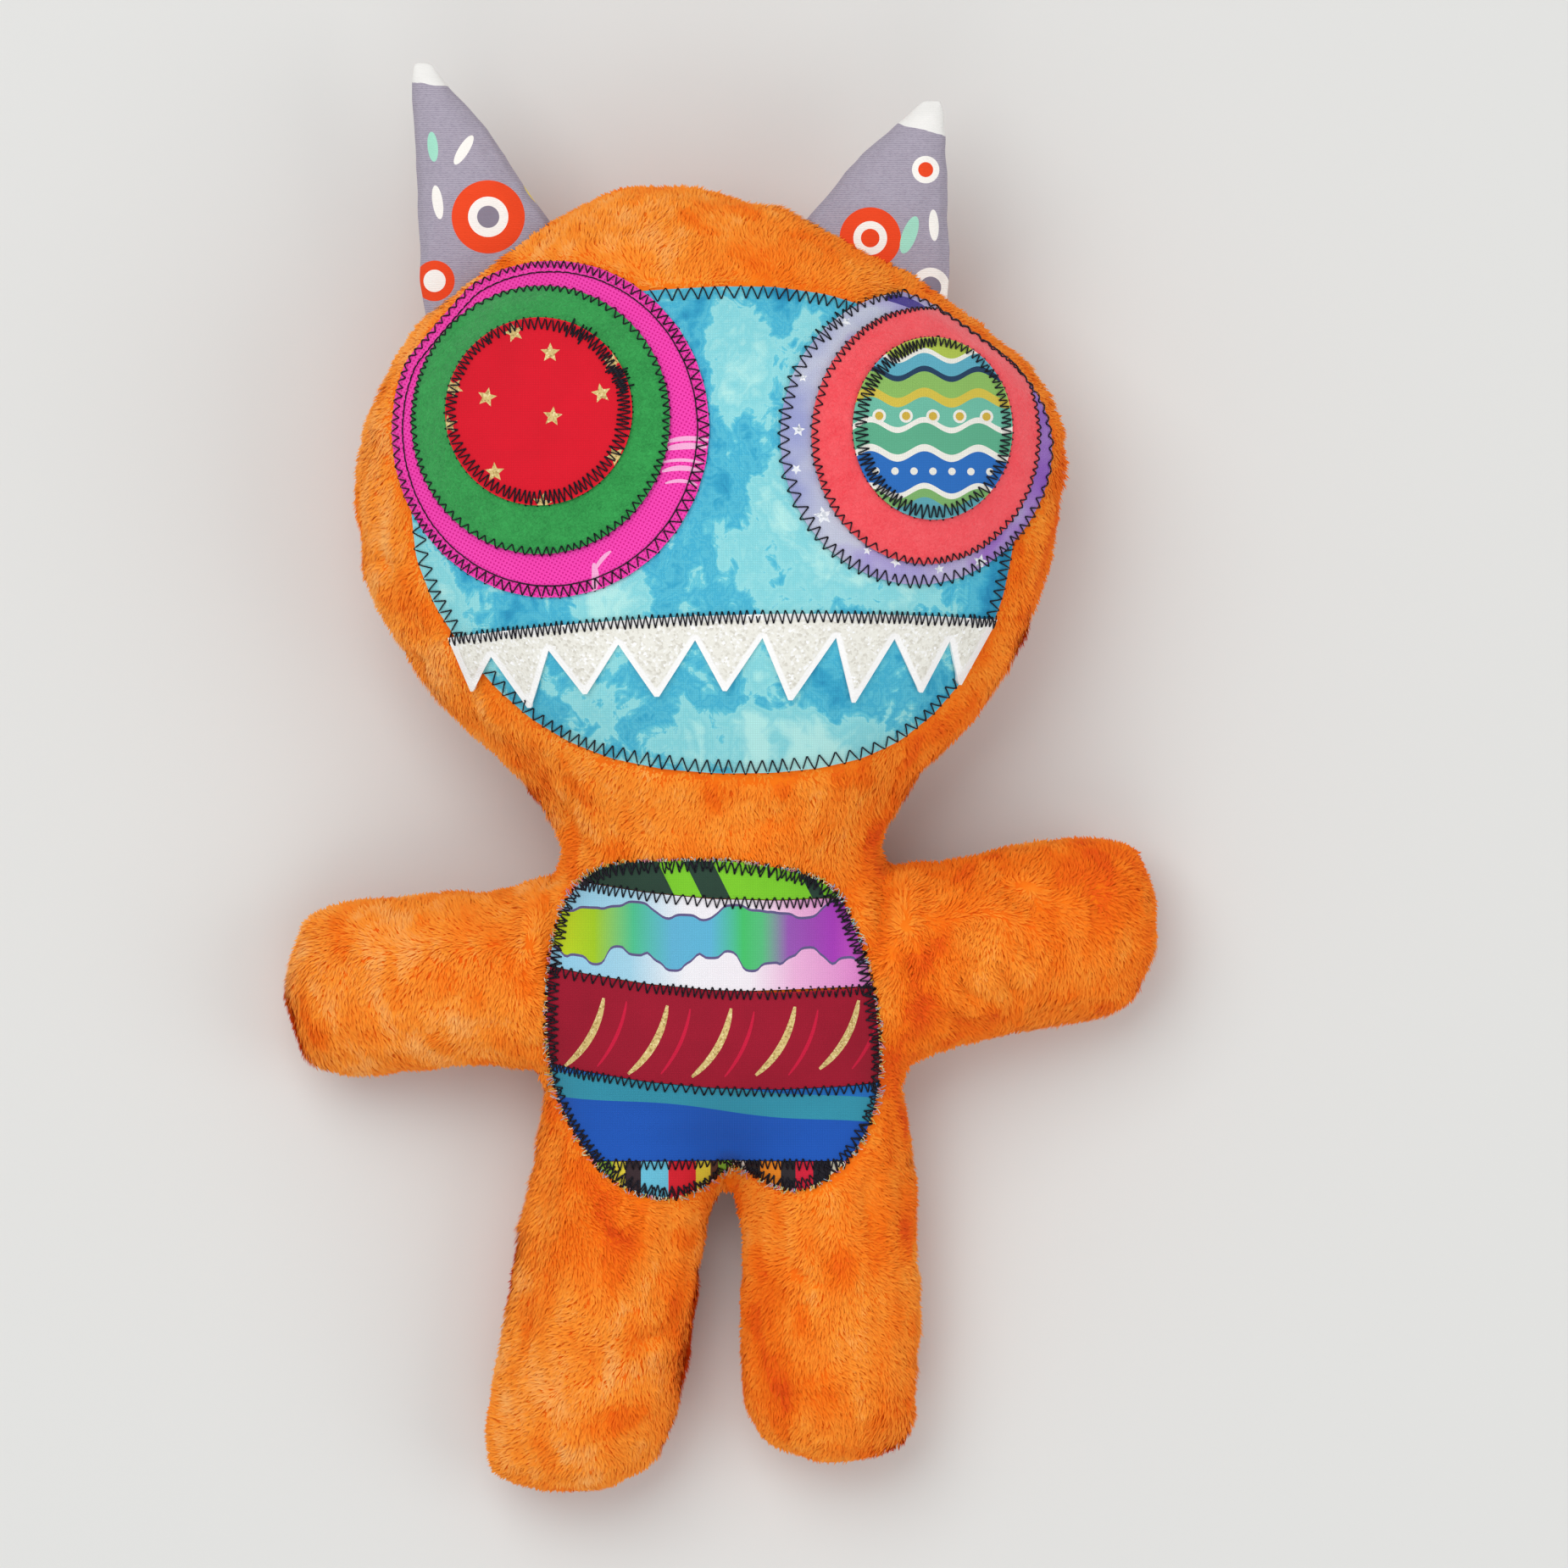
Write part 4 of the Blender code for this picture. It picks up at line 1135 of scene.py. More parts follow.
    def build(self, finish: Finish, slot: str) -> Object:
        """Join the rows into one dressed piece."""
        points = np.concatenate([block[0] for block in self.blocks])
        faces, first = [], 0
        for block_points, block_faces in self.blocks:
            faces += [tuple(vertex + first for vertex in face) for face in block_faces]
            first += len(block_points)
        item = new_mesh_object(self.name, points, faces)
        smooth_shading(item)
        show(item, [finish])
        return item


def sweep(centres: Rows, ups: Rows, radius: float, sides: int) -> tuple[Rows, list]:
    """Return a closed tube along a line.

    Args:
        centres: The line's points.
        ups: A direction across the line at each point.
        radius: The tube's radius.
        sides: How many flat sides the tube has.

    Returns:
        The tube's points and faces.
    """
    along = unit(np.gradient(centres, axis=0))
    side = unit(np.cross(along, ups))
    up = np.cross(side, along)
    angles = np.arange(sides) * math.tau / sides
    across, over = np.cos(angles)[None, :, None], np.sin(angles)[None, :, None]
    ring = across * side[:, None] + over * up[:, None]
    points = (centres[:, None] + ring * radius).reshape(-1, 3)
    faces = []
    for row in range(len(centres) - 1):
        for k in range(sides):
            a, b = row * sides + k, row * sides + (k + 1) % sides
            faces.append((a, a + sides, b + sides, b))
    faces.append(tuple(range(sides)))
    faces.append(tuple(reversed(range(len(points) - sides, len(points)))))
    return points, faces


def sewn_skin(name: str, nodes: Sequence[str]) -> Object:
    """Take the outer faces of sewn panels and join them at their seam.

    Args:
        name: The new object's name.
        nodes: The front and the back panel.

    Returns:
        One closed skin.
    """
    shells = []
    for node, sign in zip(nodes, (1, -1)):
        shell = add_object(f"{name}_{node}", frame["nodes"][node].data.copy())
        shell.data.materials.clear()
        keep_values(shell, "panel", [sign] * len(shell.data.polygons), "INT", "FACE")
        activate(shell)
        bpy.ops.mesh.customdata_custom_splitnormals_clear()
        bpy.ops.object.mode_set(mode="EDIT")
        bpy.ops.mesh.select_mode(type="EDGE")
        bpy.ops.mesh.select_all(action="SELECT")
        bpy.ops.mesh.remove_doubles(threshold=0.00001)
        bpy.ops.mesh.select_all(action="DESELECT")
        bpy.ops.mesh.edges_select_sharp(sharpness=math.radians(50))
        bpy.ops.mesh.mark_seam(clear=False)
        bpy.ops.mesh.select_mode(type="FACE")
        bpy.ops.mesh.select_all(action="DESELECT")
        bpy.ops.object.mode_set(mode="OBJECT")
        outermost = max(shell.data.polygons, key=lambda p: sign * (p.center.z + p.normal.z))
        outermost.select = True
        bpy.ops.object.mode_set(mode="EDIT")
        bpy.ops.mesh.select_linked(delimit={"SEAM"})
        bpy.ops.mesh.select_all(action="INVERT")
        bpy.ops.mesh.delete(type="FACE")
        bpy.ops.object.mode_set(mode="OBJECT")
        shells.append(shell)
    activate(*shells)
    bpy.ops.object.join()
    skin = bpy.context.view_layer.objects.active
    skin.name = skin.data.name = name
    bpy.ops.object.mode_set(mode="EDIT")
    bpy.ops.mesh.select_mode(type="VERT")
    bpy.ops.mesh.select_all(action="SELECT")
    bpy.ops.mesh.remove_doubles(threshold=0.0004)
    bpy.ops.mesh.select_all(action="DESELECT")
    bpy.ops.mesh.select_non_manifold()
    bpy.ops.mesh.edge_face_add()
    bpy.ops.object.mode_set(mode="OBJECT")
    return skin


def seam_points(skin: Object, spacing: float = 0.001) -> Rows:
    """Return points along the seam between the two panels of a sewn skin.

    Args:
        skin: The skin.
        spacing: Distance between the points.

    Returns:
        Rows of x, y and z.
    """
    panel = read_rows(skin.data.attributes["panel"].data, "value", 1, np.int32)
    owners: dict[tuple, set] = {}
    for polygon in skin.data.polygons:
        for key in polygon.edge_keys:
            owners.setdefault(key, set()).add(int(panel[polygon.index]))
    rows = []
    for (a, b), sides in owners.items():
        if len(sides) == 2:
            start, end = (np.array(skin.data.vertices[vertex].co) for vertex in (a, b))
            count = max(2, int(np.linalg.norm(end - start) / spacing))
            rows.append(start + (end - start) * np.linspace(0, 1, count)[:, None])
    return np.concatenate(rows)


def remesh(item: Object, size: float) -> None:
    """Cover a closed piece with even squares."""
    activate(item)
    item.data.remesh_voxel_size = size
    item.data.use_remesh_fix_poles = True
    bpy.ops.object.voxel_remesh()


def stuff(item: Object, pressure: float, cap: float, frames: int = 20) -> None:
    """Swell a closed piece with its filling.

    Args:
        item: The piece, a closed mesh.
        pressure: Push of the filling.
        cap: The furthest that a point may move.
        frames: Steps of the simulation.
    """
    rest = coordinates(item)
    activate(item)
    cloth = item.modifiers.new("filling", "CLOTH")
    cloth.settings.quality = 5
    cloth.settings.use_pressure = True
    cloth.settings.uniform_pressure_force = pressure
    cloth.settings.effector_weights.gravity = 0.0
    cloth.point_cache.frame_start = 1
    cloth.point_cache.frame_end = frames
    for number in range(1, frames + 1):
        bpy.context.scene.frame_set(number)
    bpy.ops.object.modifier_apply(modifier=cloth.name)
    bpy.context.scene.frame_set(1)
    moved = coordinates(item) - rest
    length = np.linalg.norm(moved, axis=1, keepdims=True)
    moved *= np.minimum(1.0, cap / np.maximum(length, 1e-9))
    set_coordinates(item, rest + moved)


@dataclass(frozen=True)
class Crease:
    """A fold pressed into the plush: its two ends from above, its width and its depth."""

    start: Place
    end: Place
    width: float
    depth: float

    def shape(self, points: Rows, front: Rows) -> Rows:
        """Return the fold's height at each point, in metres: a valley between two low ridges."""
        start, end = np.array(self.start), np.array(self.end)
        along = end - start
        share = (points[:, :2] - start) @ along / (along @ along)
        taper = np.clip(1 - (2 * share - 1) ** 2, 0, 1)
        side = np.abs((points[:, 0] - start[0]) * along[1] - (points[:, 1] - start[1]) * along[0])
        side /= np.linalg.norm(along) * self.width
        fold = -np.exp(-side ** 2) + 0.5 * np.exp(-(side - 1.9) ** 2)
        return self.depth * fold * taper * front


@dataclass(frozen=True)
class Spot:
    """A soft-edged place on the doll, seen from above: its middle, its size and its strength."""

    middle: Place
    size: Place
    strength: float

    def weight(self, points: Rows) -> Rows:
        """Return one in the middle of the place, fading to nothing, for each point."""
        reach = (points[:, :2] - self.middle) / self.size
        return np.exp(-(reach ** 2).sum(axis=1))


CREASES = tuple(
    Crease((a / 1000, b / 1000), (c / 1000, d / 1000), width / 1000, depth / 1000)
    for a, b, c, d, width, depth in (  # both ends, the width and the depth in millimetres
        (-49.3, -3.5, -42, -24.3, 2.8, 2.4), (-47.5, 3, -42.5, -9, 2.2, 1.6),
        (50.3, -24.3, 48, -57.5, 3.6, 2.6), (54, -48, 62.5, -70, 2.4, 2.6),
        (61.5, -45, 66, -69, 2, 1.6), (72, -60, 77.5, -69, 2.6, 2.2),
        (84, -54, 92.5, -70, 2.6, 2.4), (89, -47, 96.5, -59, 2.6, 1.8),
        (68, -70, 76, -77.5, 2.8, 1.8), (83, -34, 97, -42, 3.4, 1.4),
        (-51.1, -37.3, -55, -68.5, 3.2, 1.8), (-39.4, -136, -23.8, -143.9, 2.8, 1.4),
        (28.2, -136, 34.7, -159.5, 2.8, 1.6), (41.2, -120.5, 46.4, -143.9, 2.8, 1.6),
        (20.5, -148, 30, -156, 2.4, 1.6), (-29, -175, -13.4, -167, 2.8, 1.4),
        (-30, -129, -24, -140, 2.4, 1.4), (111, -32, 116.6, -45, 2.8, 1.4),
        (7.4, -11.3, 20.4, -15.2, 3.6, 1.2), (-100, 40, -90, 34, 2.6, 2.2),
        (-106, 70, -98.5, 64, 2.6, 1.8), (-78, 21.5, -70, 12, 2.6, 2),
    ))


@dataclass
class PlushBody:
    """The stuffed body: head, torso and limbs in one skin with a seam all round."""

    voxel: float = 0.0024
    pile_height: float = 0.0010  # the knitted back lies this far below the brushed surface
    swell: float = 0.0016  # how far the filling pushes the skin past the pattern's form
    pressure: float = 4.0
    cap: float = 0.005
    fullness: float = 0.0021  # how far the filling pushes out the flanks and the arms
    slack: Spot = Spot((-0.115, -0.03), (0.03, 0.018), 0.8)  # the left hand is less full
    tight: Spot = Spot((0.092, -0.018), (0.022, 0.014), 1.0)  # the right arm's upper side bulges
    groove: float = 0.0008  # how deep the seam lies
    patch_groove: float = 0.0007  # how deep the edges of the patches lie
    groove_width: float = 0.0022
    pucker: float = 0.0013
    pucker_length: float = 0.0095
    pucker_reach: float = 0.009  # how far from the seam the puckers run
    lumps: float = 0.0009
    floor_gap: float = 0.0004
    ground_tone: float = 0.42

    def build(self, patches: Sequence[Outline]) -> Object:
        """Sew, stuff and crease the body.

        Args:
            patches: Outlines of the patches sewn onto it.

        Returns:
            The dressed body.
        """
        skin = sewn_skin("plush_body", ("body_front_panel", "body_back_panel"))
        seam = seam_points(skin)
        form = Surface(skin)
        remesh(skin, self.voxel)
        depth = self.depth(skin, patches)
        set_coordinates(skin, coordinates(skin) - point_normals(skin) * depth[:, None])
        stuff(skin, self.pressure, self.cap)
        self.fill(skin, form, depth)
        self.sew(skin, seam, patches)
        smooth_shading(skin)
        self.tone(skin)
        show(skin, [PLUSH_GROUND],
             ("body_front_panel", "body_back_panel", "body_stuffing"))
        return skin

    def depth(self, skin: Object, patches: Sequence[Outline]) -> Rows:
        """Return how far inside the pattern's form each point of the skin may lie."""
        points = coordinates(skin)
        gap = patch_gap(points, point_normals(skin), patches)
        near = np.exp(-(gap / 0.004) ** 2)
        full = np.clip((np.abs(points[:, 0]) - 0.045) / 0.012, 0, 1)  # from the flanks outwards
        full *= np.exp(-((points[:, 1] + 0.055) / 0.05) ** 2)  # most of it at the arms
        full *= 1 - self.slack.strength * self.slack.weight(points)
        full += self.tight.strength * self.tight.weight(points)
        full *= np.clip(gap / 0.008, 0, 1)
        return self.pile_height * np.where(gap < 0, near * 0.6, 1.0) - self.fullness * full

    def fill(self, skin: Object, form: Surface, depth: Rows) -> None:
        """Bring slack and overfull places back to the form that the pattern gives.

        Args:
            skin: The stuffed skin.
            form: The pattern's own form.
            depth: How far inside the form each point may lie.
        """
        points = coordinates(skin)
        for number, row in enumerate(points):
            place, normal, _, gap = form.tree.find_nearest(Vector(row))
            away = Vector(row) - place
            height = math.copysign(gap, away.dot(normal))
            wanted = min(max(height, -depth[number]), max(self.swell, 0.0005 - depth[number]))
            if gap > 1e-5 and wanted != height:
                points[number] = np.array(place + away * (wanted / height))
        set_coordinates(skin, points)
        apply_modifier(skin, "settle", "SMOOTH", factor=0.5, iterations=2)

    def sew(self, skin: Object, seam: Rows, patches: Sequence[Outline]) -> None:
        """Press in the seam, its puckers, the folds and the edges of the patches."""
        points, normals = coordinates(skin), point_normals(skin)
        tree = KDTree(len(seam))
        for number, row in enumerate(seam):
            tree.insert(row, number)
        tree.balance()
        gap = np.array([tree.find(row)[2] for row in points])
        front = normals[:, 2] > 0.0
        outside = patch_gap(points, normals, patches)
        covered, edge = outside < 0, np.abs(outside)
        angle = np.arctan2(points[:, 1] - BODY_MIDDLE[1], points[:, 0])
        wander = noise_at(points * np.array([1, 1, 0.3]), self.pucker_length, 3.1)
        slow = noise_at(points, 0.045, 8.4)
        fade = np.exp(-gap / self.pucker_reach) * np.clip(edge / 0.01, 0, 1)
        folds = self.pucker * wander * fade * (1.1 + slow)
        folds *= np.where(covered, 0.2, 1.0) * (1 + 1.1 * np.exp(-((angle - 3.0) / 0.35) ** 2))
        push = folds - self.groove * np.exp(-(gap / self.groove_width) ** 2)
        push -= self.patch_groove * np.exp(-(edge / self.groove_width) ** 2)
        push += self.lumps * noise_at(points, 0.022, 5.7) * np.where(covered, 0.35, 1.0)
        for crease in CREASES:
            push += crease.shape(points, front)
        moved = points + normals * push[:, None]
        moved[:, 2] = np.maximum(moved[:, 2], self.floor_gap)
        set_coordinates(skin, moved)

    def tone(self, skin: Object) -> None:
        """Give the ground of the pile one even, deep tone."""
        even = np.full(len(skin.data.vertices), self.ground_tone, np.float32)
        keep_values(skin, "tone", even)


@dataclass
class PlushPile:
    """The brushed pile: short soft locks that lie over each other, loosest along the outline."""

    length: float = 0.0036
    width: float = 0.00072
    root_depth: float = 0.0004  # how deep the locks are rooted in the ground
    nap_shading: float = 0.30  # the noise past which the pile lies against its nap and is painted in shade
    nap_shading_edge: float = 0.09
    painted_side_shade: float = 1.05  # painted shade: fall in tone for each metre from left to right, as the light falls from the left
    painted_crease_shade: float = 80.0  # fall in tone for each metre of a fold's depth: painted shade in each fold, painted light on its low ridges
    front_density: float = 2.8  # locks for each square millimetre
    back_density: float = 0.95
    lean_degrees: float = 69.0
    seed: int = 11
    marks: tuple[Spot, ...] = (  # patches of painted shade (less tone) and painted light (more tone), where the pile dips and lies another way
        Spot((0.056, -0.052), (0.010, 0.030), -0.26), Spot((0.030, -0.028), (0.030, 0.008), -0.14),
        Spot((0.016, -0.170), (0.006, 0.030), -0.20), Spot((-0.012, -0.165), (0.008, 0.016), -0.16),
        Spot((0.058, -0.110), (0.010, 0.022), -0.14), Spot((0.090, -0.032), (0.014, 0.010), -0.14),
        Spot((0.122, -0.035), (0.010, 0.008), -0.16), Spot((-0.030, -0.140), (0.010, 0.008), -0.12),
        Spot((0.095, 0.028), (0.006, 0.030), -0.18), Spot((-0.092, -0.055), (0.030, 0.012), 0.08),
        Spot((0.104, -0.060), (0.020, 0.008), 0.12), Spot((-0.046, -0.190), (0.012, 0.024), 0.06),
        Spot((0.000, 0.168), (0.040, 0.008), 0.08),
    )

    def build(self, skin: Surface, patches: Sequence[Outline]) -> list[Object]:
        """Grow the pile on the body, in one piece for each region.

        Args:
            skin: The body's surface.
            patches: Outlines of the patches, under which no pile grows.

        Returns:
            The dressed pieces.
        """
        random = np.random.default_rng(self.seed)
        corners = skin.points[skin.triangles]
        cross = np.cross(corners[:, 1] - corners[:, 0], corners[:, 2] - corners[:, 0])
        area = np.linalg.norm(cross, axis=1) / 2
        facing = unit(cross)[:, 2]
        weight = area * 1e6 * np.where(facing > -0.3, self.front_density, self.back_density)
        chosen = random.choice(len(area), int(weight.sum()), p=weight / weight.sum())
        shares = random.dirichlet((1, 1, 1), len(chosen))
        lay = self.lay(skin, patches)
        triangles = skin.triangles[chosen]
        roots = np.einsum("ij,ijk->ik", shares, skin.points[triangles])
        normals = unit(np.einsum("ij,ijk->ik", shares, skin.normals[triangles]))
        lay = np.einsum("ij,ijk->ik", shares, lay[triangles])
        keep = (lay[:, 0] > -0.0005) & (roots[:, 2] > 0.0012)
        roots, normals, lay = roots[keep], normals[keep], lay[keep]
        upper = normals[:, 2] > -0.2
        regions = {
            "plush_pile_crown": upper & (roots[:, 1] > 0.11),
            "plush_pile_cheeks": upper & (roots[:, 1] > 0.0) & (roots[:, 1] <= 0.11),
            "plush_pile_arms": upper & (roots[:, 1] > -0.095) & (roots[:, 1] <= 0.0),
            "plush_pile_legs": upper & (roots[:, 1] <= -0.095),
            "plush_pile_back": ~upper,
        }
        return [self.grow(name, roots[mask], normals[mask], lay[mask], random)
                for name, mask in regions.items()]

    def lay(self, skin: Surface, patches: Sequence[Outline]) -> Rows:
        """Work out how the pile lies at each point of the skin.

        Args:
            skin: The body's surface.
            patches: Outlines of the patches.

        Returns:
            Rows of the gap to the patches, the turn, the lean, the tone and the length's share.
        """
        points, normals = skin.points, skin.normals
        gap = patch_gap(points, normals, patches)
        slow = noise_at(points, 0.042, 1.7)
        middle = noise_at(points, 0.015, 6.2)
        quick = noise_at(points, 0.0055, 9.1)
        turn = 1.5 * slow + 0.9 * middle + 0.45 * quick
        lean = self.lean_degrees - 20 * (1 - np.abs(normals[:, 2])) ** 2 - 9 * quick + 5 * middle
        # painted sheen: the tone follows the pile's turn, lighter where it leans to catch the light
        # and darker where it leans away, with fine painted streaks
        tone = 0.53 + 0.16 * np.cos(1.5 * slow + 0.9 * middle + 0.7)
        tone += 0.12 * noise_at(points * np.array([1.0, 0.55, 1.0]), 0.007, 4.4)
        # painted shade where the pile is pressed against its nap, and painted light where the noise
        # runs the other way
        nap_shading = noise_at(points * np.array([1.0, 0.7, 1.0]), 0.0105, 2.6)
        tone -= 0.19 * np.clip((nap_shading - self.nap_shading) / self.nap_shading_edge, 0, 1)
        tone += 0.10 * np.clip((-nap_shading - self.nap_shading - 0.02) / self.nap_shading_edge, 0, 1)
        # painted shade, deepening towards the right side of the upper surface
        tone -= self.painted_side_shade * points[:, 0] * (normals[:, 2] > -0.2)
        # painted shade in the valley of each fold, painted light on its ridges
        for crease in CREASES:
            tone += self.painted_crease_shade * crease.shape(points, normals[:, 2] > 0.0)
        # painted shade and painted light in soft patches, on the upper side only
        for mark in self.marks:
            soft = mark.weight(points) * np.clip(normals[:, 2] * 3, 0, 1)
            tone += mark.strength * soft * (0.8 + 0.6 * middle)
        short = np.where(gap < 0.003, 0.5 + np.clip(gap, 0, 1) / 0.006, 1.0)
        between_legs = (np.abs(points[:, 0] - 0.002) < 0.013) & (points[:, 1] > -0.21)
        between_legs &= (points[:, 1] < -0.118) & (np.abs(normals[:, 2]) < 0.75)
        short *= np.where(between_legs, 0.75, 1.0)
        return np.column_stack([gap, turn, lean, tone, short])

    def grow(self, name: str, roots: Rows, normals: Rows, lay: Rows,
             random: np.random.Generator) -> Object:
        """Grow one region's locks, each a pointed blade of two triangles, bent in the middle.

        Args:
            name: The piece's name.
            roots: Where the locks start.
            normals: The skin's direction at each root.
            lay: The gap, the turn, the lean, the tone and the length's share at each root.
            random: The pile's own sequence.

        Returns:
            The dressed piece.
        """
        count = len(roots)
        _, turn, lean, tone, short = lay.T
        turn = turn + random.normal(0, 0.22, count)
        nap = np.column_stack([0.6 * normals[:, 0], -0.55 + 0.9 * normals[:, 1],
                               np.full(count, -0.25)])
        along = unit(nap - normals * np.einsum("ij,ij->i", nap, normals)[:, None])
        side = np.cross(normals, along)
        flow = along * np.cos(turn)[:, None] + side * np.sin(turn)[:, None]
        lean = np.radians(np.clip(lean + random.normal(0, 6, count), 20, 80))[:, None]
        rise = normals * np.cos(lean) + flow * np.sin(lean)
        bent = unit(rise + flow * 0.5)
        length = (self.length * short * random.uniform(0.7, 1.25, count))[:, None]
        half = np.cross(flow, normals) * (self.width / 2 * random.uniform(0.7, 1.3, count))[:, None]
        base = roots - normals * self.root_depth
        mid = base + rise * length * 0.52
        tip = mid + bent * length * 0.48
        points = np.stack([base, mid - half, mid + half, tip], 1).reshape(-1, 3)
        points[:, 2] = np.maximum(points[:, 2], 0.0003)
        first = np.arange(count)[:, None] * 4
        item = self.blades(name, points, (first + np.array([0, 2, 1, 1, 2, 3])).ravel())
        own = unit(np.cross(half, rise))
        lit = np.array([0.0, 0.0, 0.0 if name.endswith("back") else 0.3])  # fibres pass light on
        soft = unit(normals * 0.8 + own * 0.12 + lit)
        item.data.normals_split_custom_set_from_vertices(np.repeat(soft, 4, axis=0).tolist())
        tone = tone + random.normal(0, 0.025, count)
        # painted shade at the root of each lock, painted light at its tip
        height = np.tile([-0.10, -0.01, -0.01, 0.06], count)
        keep_values(item, "tone", (np.repeat(tone, 4) + height).astype(np.float32))
        show(item, [PLUSH_PILE])
        return item

    @staticmethod
    def blades(name: str, points: Rows, corners: Rows) -> Object:
        """Add a mesh of loose triangles with a flat map for its own colours."""
        mesh = bpy.data.meshes.new(name)
        mesh.vertices.add(len(points))
        mesh.vertices.foreach_set("co", points.astype(np.float32).ravel())
        mesh.loops.add(len(corners))
        mesh.loops.foreach_set("vertex_index", corners.astype(np.int32))
        faces = len(corners) // 3
        mesh.polygons.add(faces)
        mesh.polygons.foreach_set("loop_start", np.arange(faces, dtype=np.int32) * 3)
        mesh.polygons.foreach_set("use_smooth", [True] * faces)
        layer = mesh.uv_layers.new(name="OFBake")
        low, high = points[:, :2].min(axis=0), points[:, :2].max(axis=0)
        flat = (points[corners][:, :2] - low) / (high - low)
        layer.data.foreach_set("uv", flat.astype(np.float32).ravel())
        mesh.update(calc_edges=True)
        mesh.validate()
        return add_object(name, mesh)


@dataclass
class Ear:
    """A flat pointed ear in printed twill, lightly filled."""

    side: str
    finish: Finish
    base: tuple[Place, Place]  # the line that is sewn to the head
    tuck: float = 0.0030  # how far the base reaches into the pile
    tuck_reach: float = 0.010
    lumps: float = 0.0005
    voxel: float = 0.0018
    pressure: float = 2.0
    cap: float = 0.0012

    def build(self) -> Object:
        """Sew and fill the ear."""
        name = f"ear_{self.side}"
        nodes = (f"{name}_front_panel", f"{name}_back_panel")
        skin = sewn_skin(name, nodes)
        remesh(skin, self.voxel)
        stuff(skin, self.pressure, self.cap, 12)
        apply_modifier(skin, "round", "SUBSURF", levels=1, render_levels=1)
        points, normals = coordinates(skin), point_normals(skin)
        push = noise_at(points, 0.014, 2.2) + 0.5 * noise_at(points, 0.005, 4.0)
        points += normals * push[:, None] * self.lumps
        start, end = (np.array(place) for place in self.base)
        along = unit(end - start)
        across = np.array([along[1], -along[0]])
        across *= np.sign(across @ (np.array(BODY_MIDDLE) - start))
        reach = np.clip(1 + (points[:, :2] - start) @ across / self.tuck_reach, 0, 1)
        points[:, :2] += (self.tuck * reach)[:, None] * across
        set_coordinates(skin, points)
        smooth_shading(skin)
        show(skin, [self.finish], (*nodes, f"{name}_stuffing"))
        return skin


PLUSH_GROUND = PlushFinish("brushed plush ground", 0.95)
PLUSH_PILE = PlushFinish("brushed plush pile", 0.85)
BLACK_THREAD = ThreadFinish("black sewing thread", 0.55)
BATIK = BatikFinish("turquoise batik cotton", 0.8)
PINK = DottedFinish("pink dotted cotton", 0.8, "#FF4CBC", "#FC3AB0", pitch_mm=1.1)
PINK_PALE = CottonFinish("pale print on pink cotton", 0.8, "#FCC6E6", "#FF9AD4")
GREEN_FELT = FeltFinish("green wool felt", 0.95, "#3CB058", "#1F7A38")
RED = CottonFinish("red woven cotton", 0.8, "#E60F2A", "#D60C24")
GOLD_PRINT = GlitterFinish("gold foil print", 0.5, "#D9BE76", "#F4E2A6", "#A98742", 0.5)
LILAC = SatinFinish("lilac printed satin", 0.42)
SILVER_PRINT = GlitterFinish("silver foil print", 0.4, "#E9ECF2", "#FFFFFF", "#9FA6B4", 0.6)
CORAL_FELT = FeltFinish("coral wool felt", 0.95, "#FF666C", "#F23C48")
TEETH = GlitterFinish("white glitter felt", 0.5, "#ECEAE0", "#FFFFFF", "#D4D0C4", 0.75, 0.0020)


@dataclass
class Studio:
    """The floor, the lamps and the camera straight above the doll."""

    camera_height: float = 7.0
    frame_width: float = 0.481  # what the picture spans at the height of the seam
    seam_height: float = 0.045
    centre: Place = (0.0191, -0.0022)
    sensor_mm: float = 36.0
    floor_size: float = 24.0

    def build(self) -> None:
        """Set up the stage."""
        self.floor()
        self.lamps()
        self.camera()
        self.world()
        bpy.context.scene.view_settings.view_transform = "Standard"

    def floor(self) -> None:
        """Lay the floor under the doll."""
        bpy.ops.object.select_all(action="DESELECT")
        bpy.ops.mesh.primitive_plane_add(size=self.floor_size, location=(0, 0, 0))
        floor = bpy.context.view_layer.objects.active
        floor.name = "floor"
        floor.data.materials.append(StageFinish("pale card", 0.9).material())

    def lamps(self) -> None:
        """Hang a large soft lamp over the doll and a weaker one on each side."""
        for name, place, size, power in (
            ("lamp_over", (-0.9, 1.1, 2.6), 2.2, 39.0),
            ("lamp_right", (1.9, -0.4, 1.8), 1.6, 10.0),
            ("lamp_foot", (-0.2, -1.9, 1.9), 1.6, 8.0),
        ):
            light = bpy.data.lights.new(name, "AREA")
            light.size = size
            light.energy = power
            lamp = add_object(name, light)
            lamp.location = place
            lamp.rotation_euler = (-Vector(place)).to_track_quat("-Z", "Y").to_euler()

    def camera(self) -> None:
        """Put the camera straight above the middle of the picture."""
        data = bpy.data.cameras.new("camera")
        data.sensor_width = self.sensor_mm
        data.lens = self.sensor_mm * (self.camera_height - self.seam_height) / self.frame_width
        camera = add_object("camera", data)
        camera.location = (*self.centre, self.camera_height)
        bpy.context.scene.camera = camera

    @staticmethod
    def world() -> None:
        """Fill in with an even pale light; the camera sees it in the floor's own tone."""
        world = bpy.data.worlds.new("studio")
        bpy.context.scene.world = world
        world.use_nodes = True
        tree = world.node_tree
        light = tree.nodes["Background"]
        set_inputs(tree, light, {"Color": linear("#F4F5F7"), "Strength": 0.62})
        seen = add_node(tree, "Background", {"Color": linear("#E2E2E0")})
        mix = add_node(tree, "MixShader", {
            0: add_node(tree, "LightPath").outputs["Is Camera Ray"],
            1: light, 2: seen})
        set_inputs(tree, tree.nodes["World Output"], {"Surface": mix})


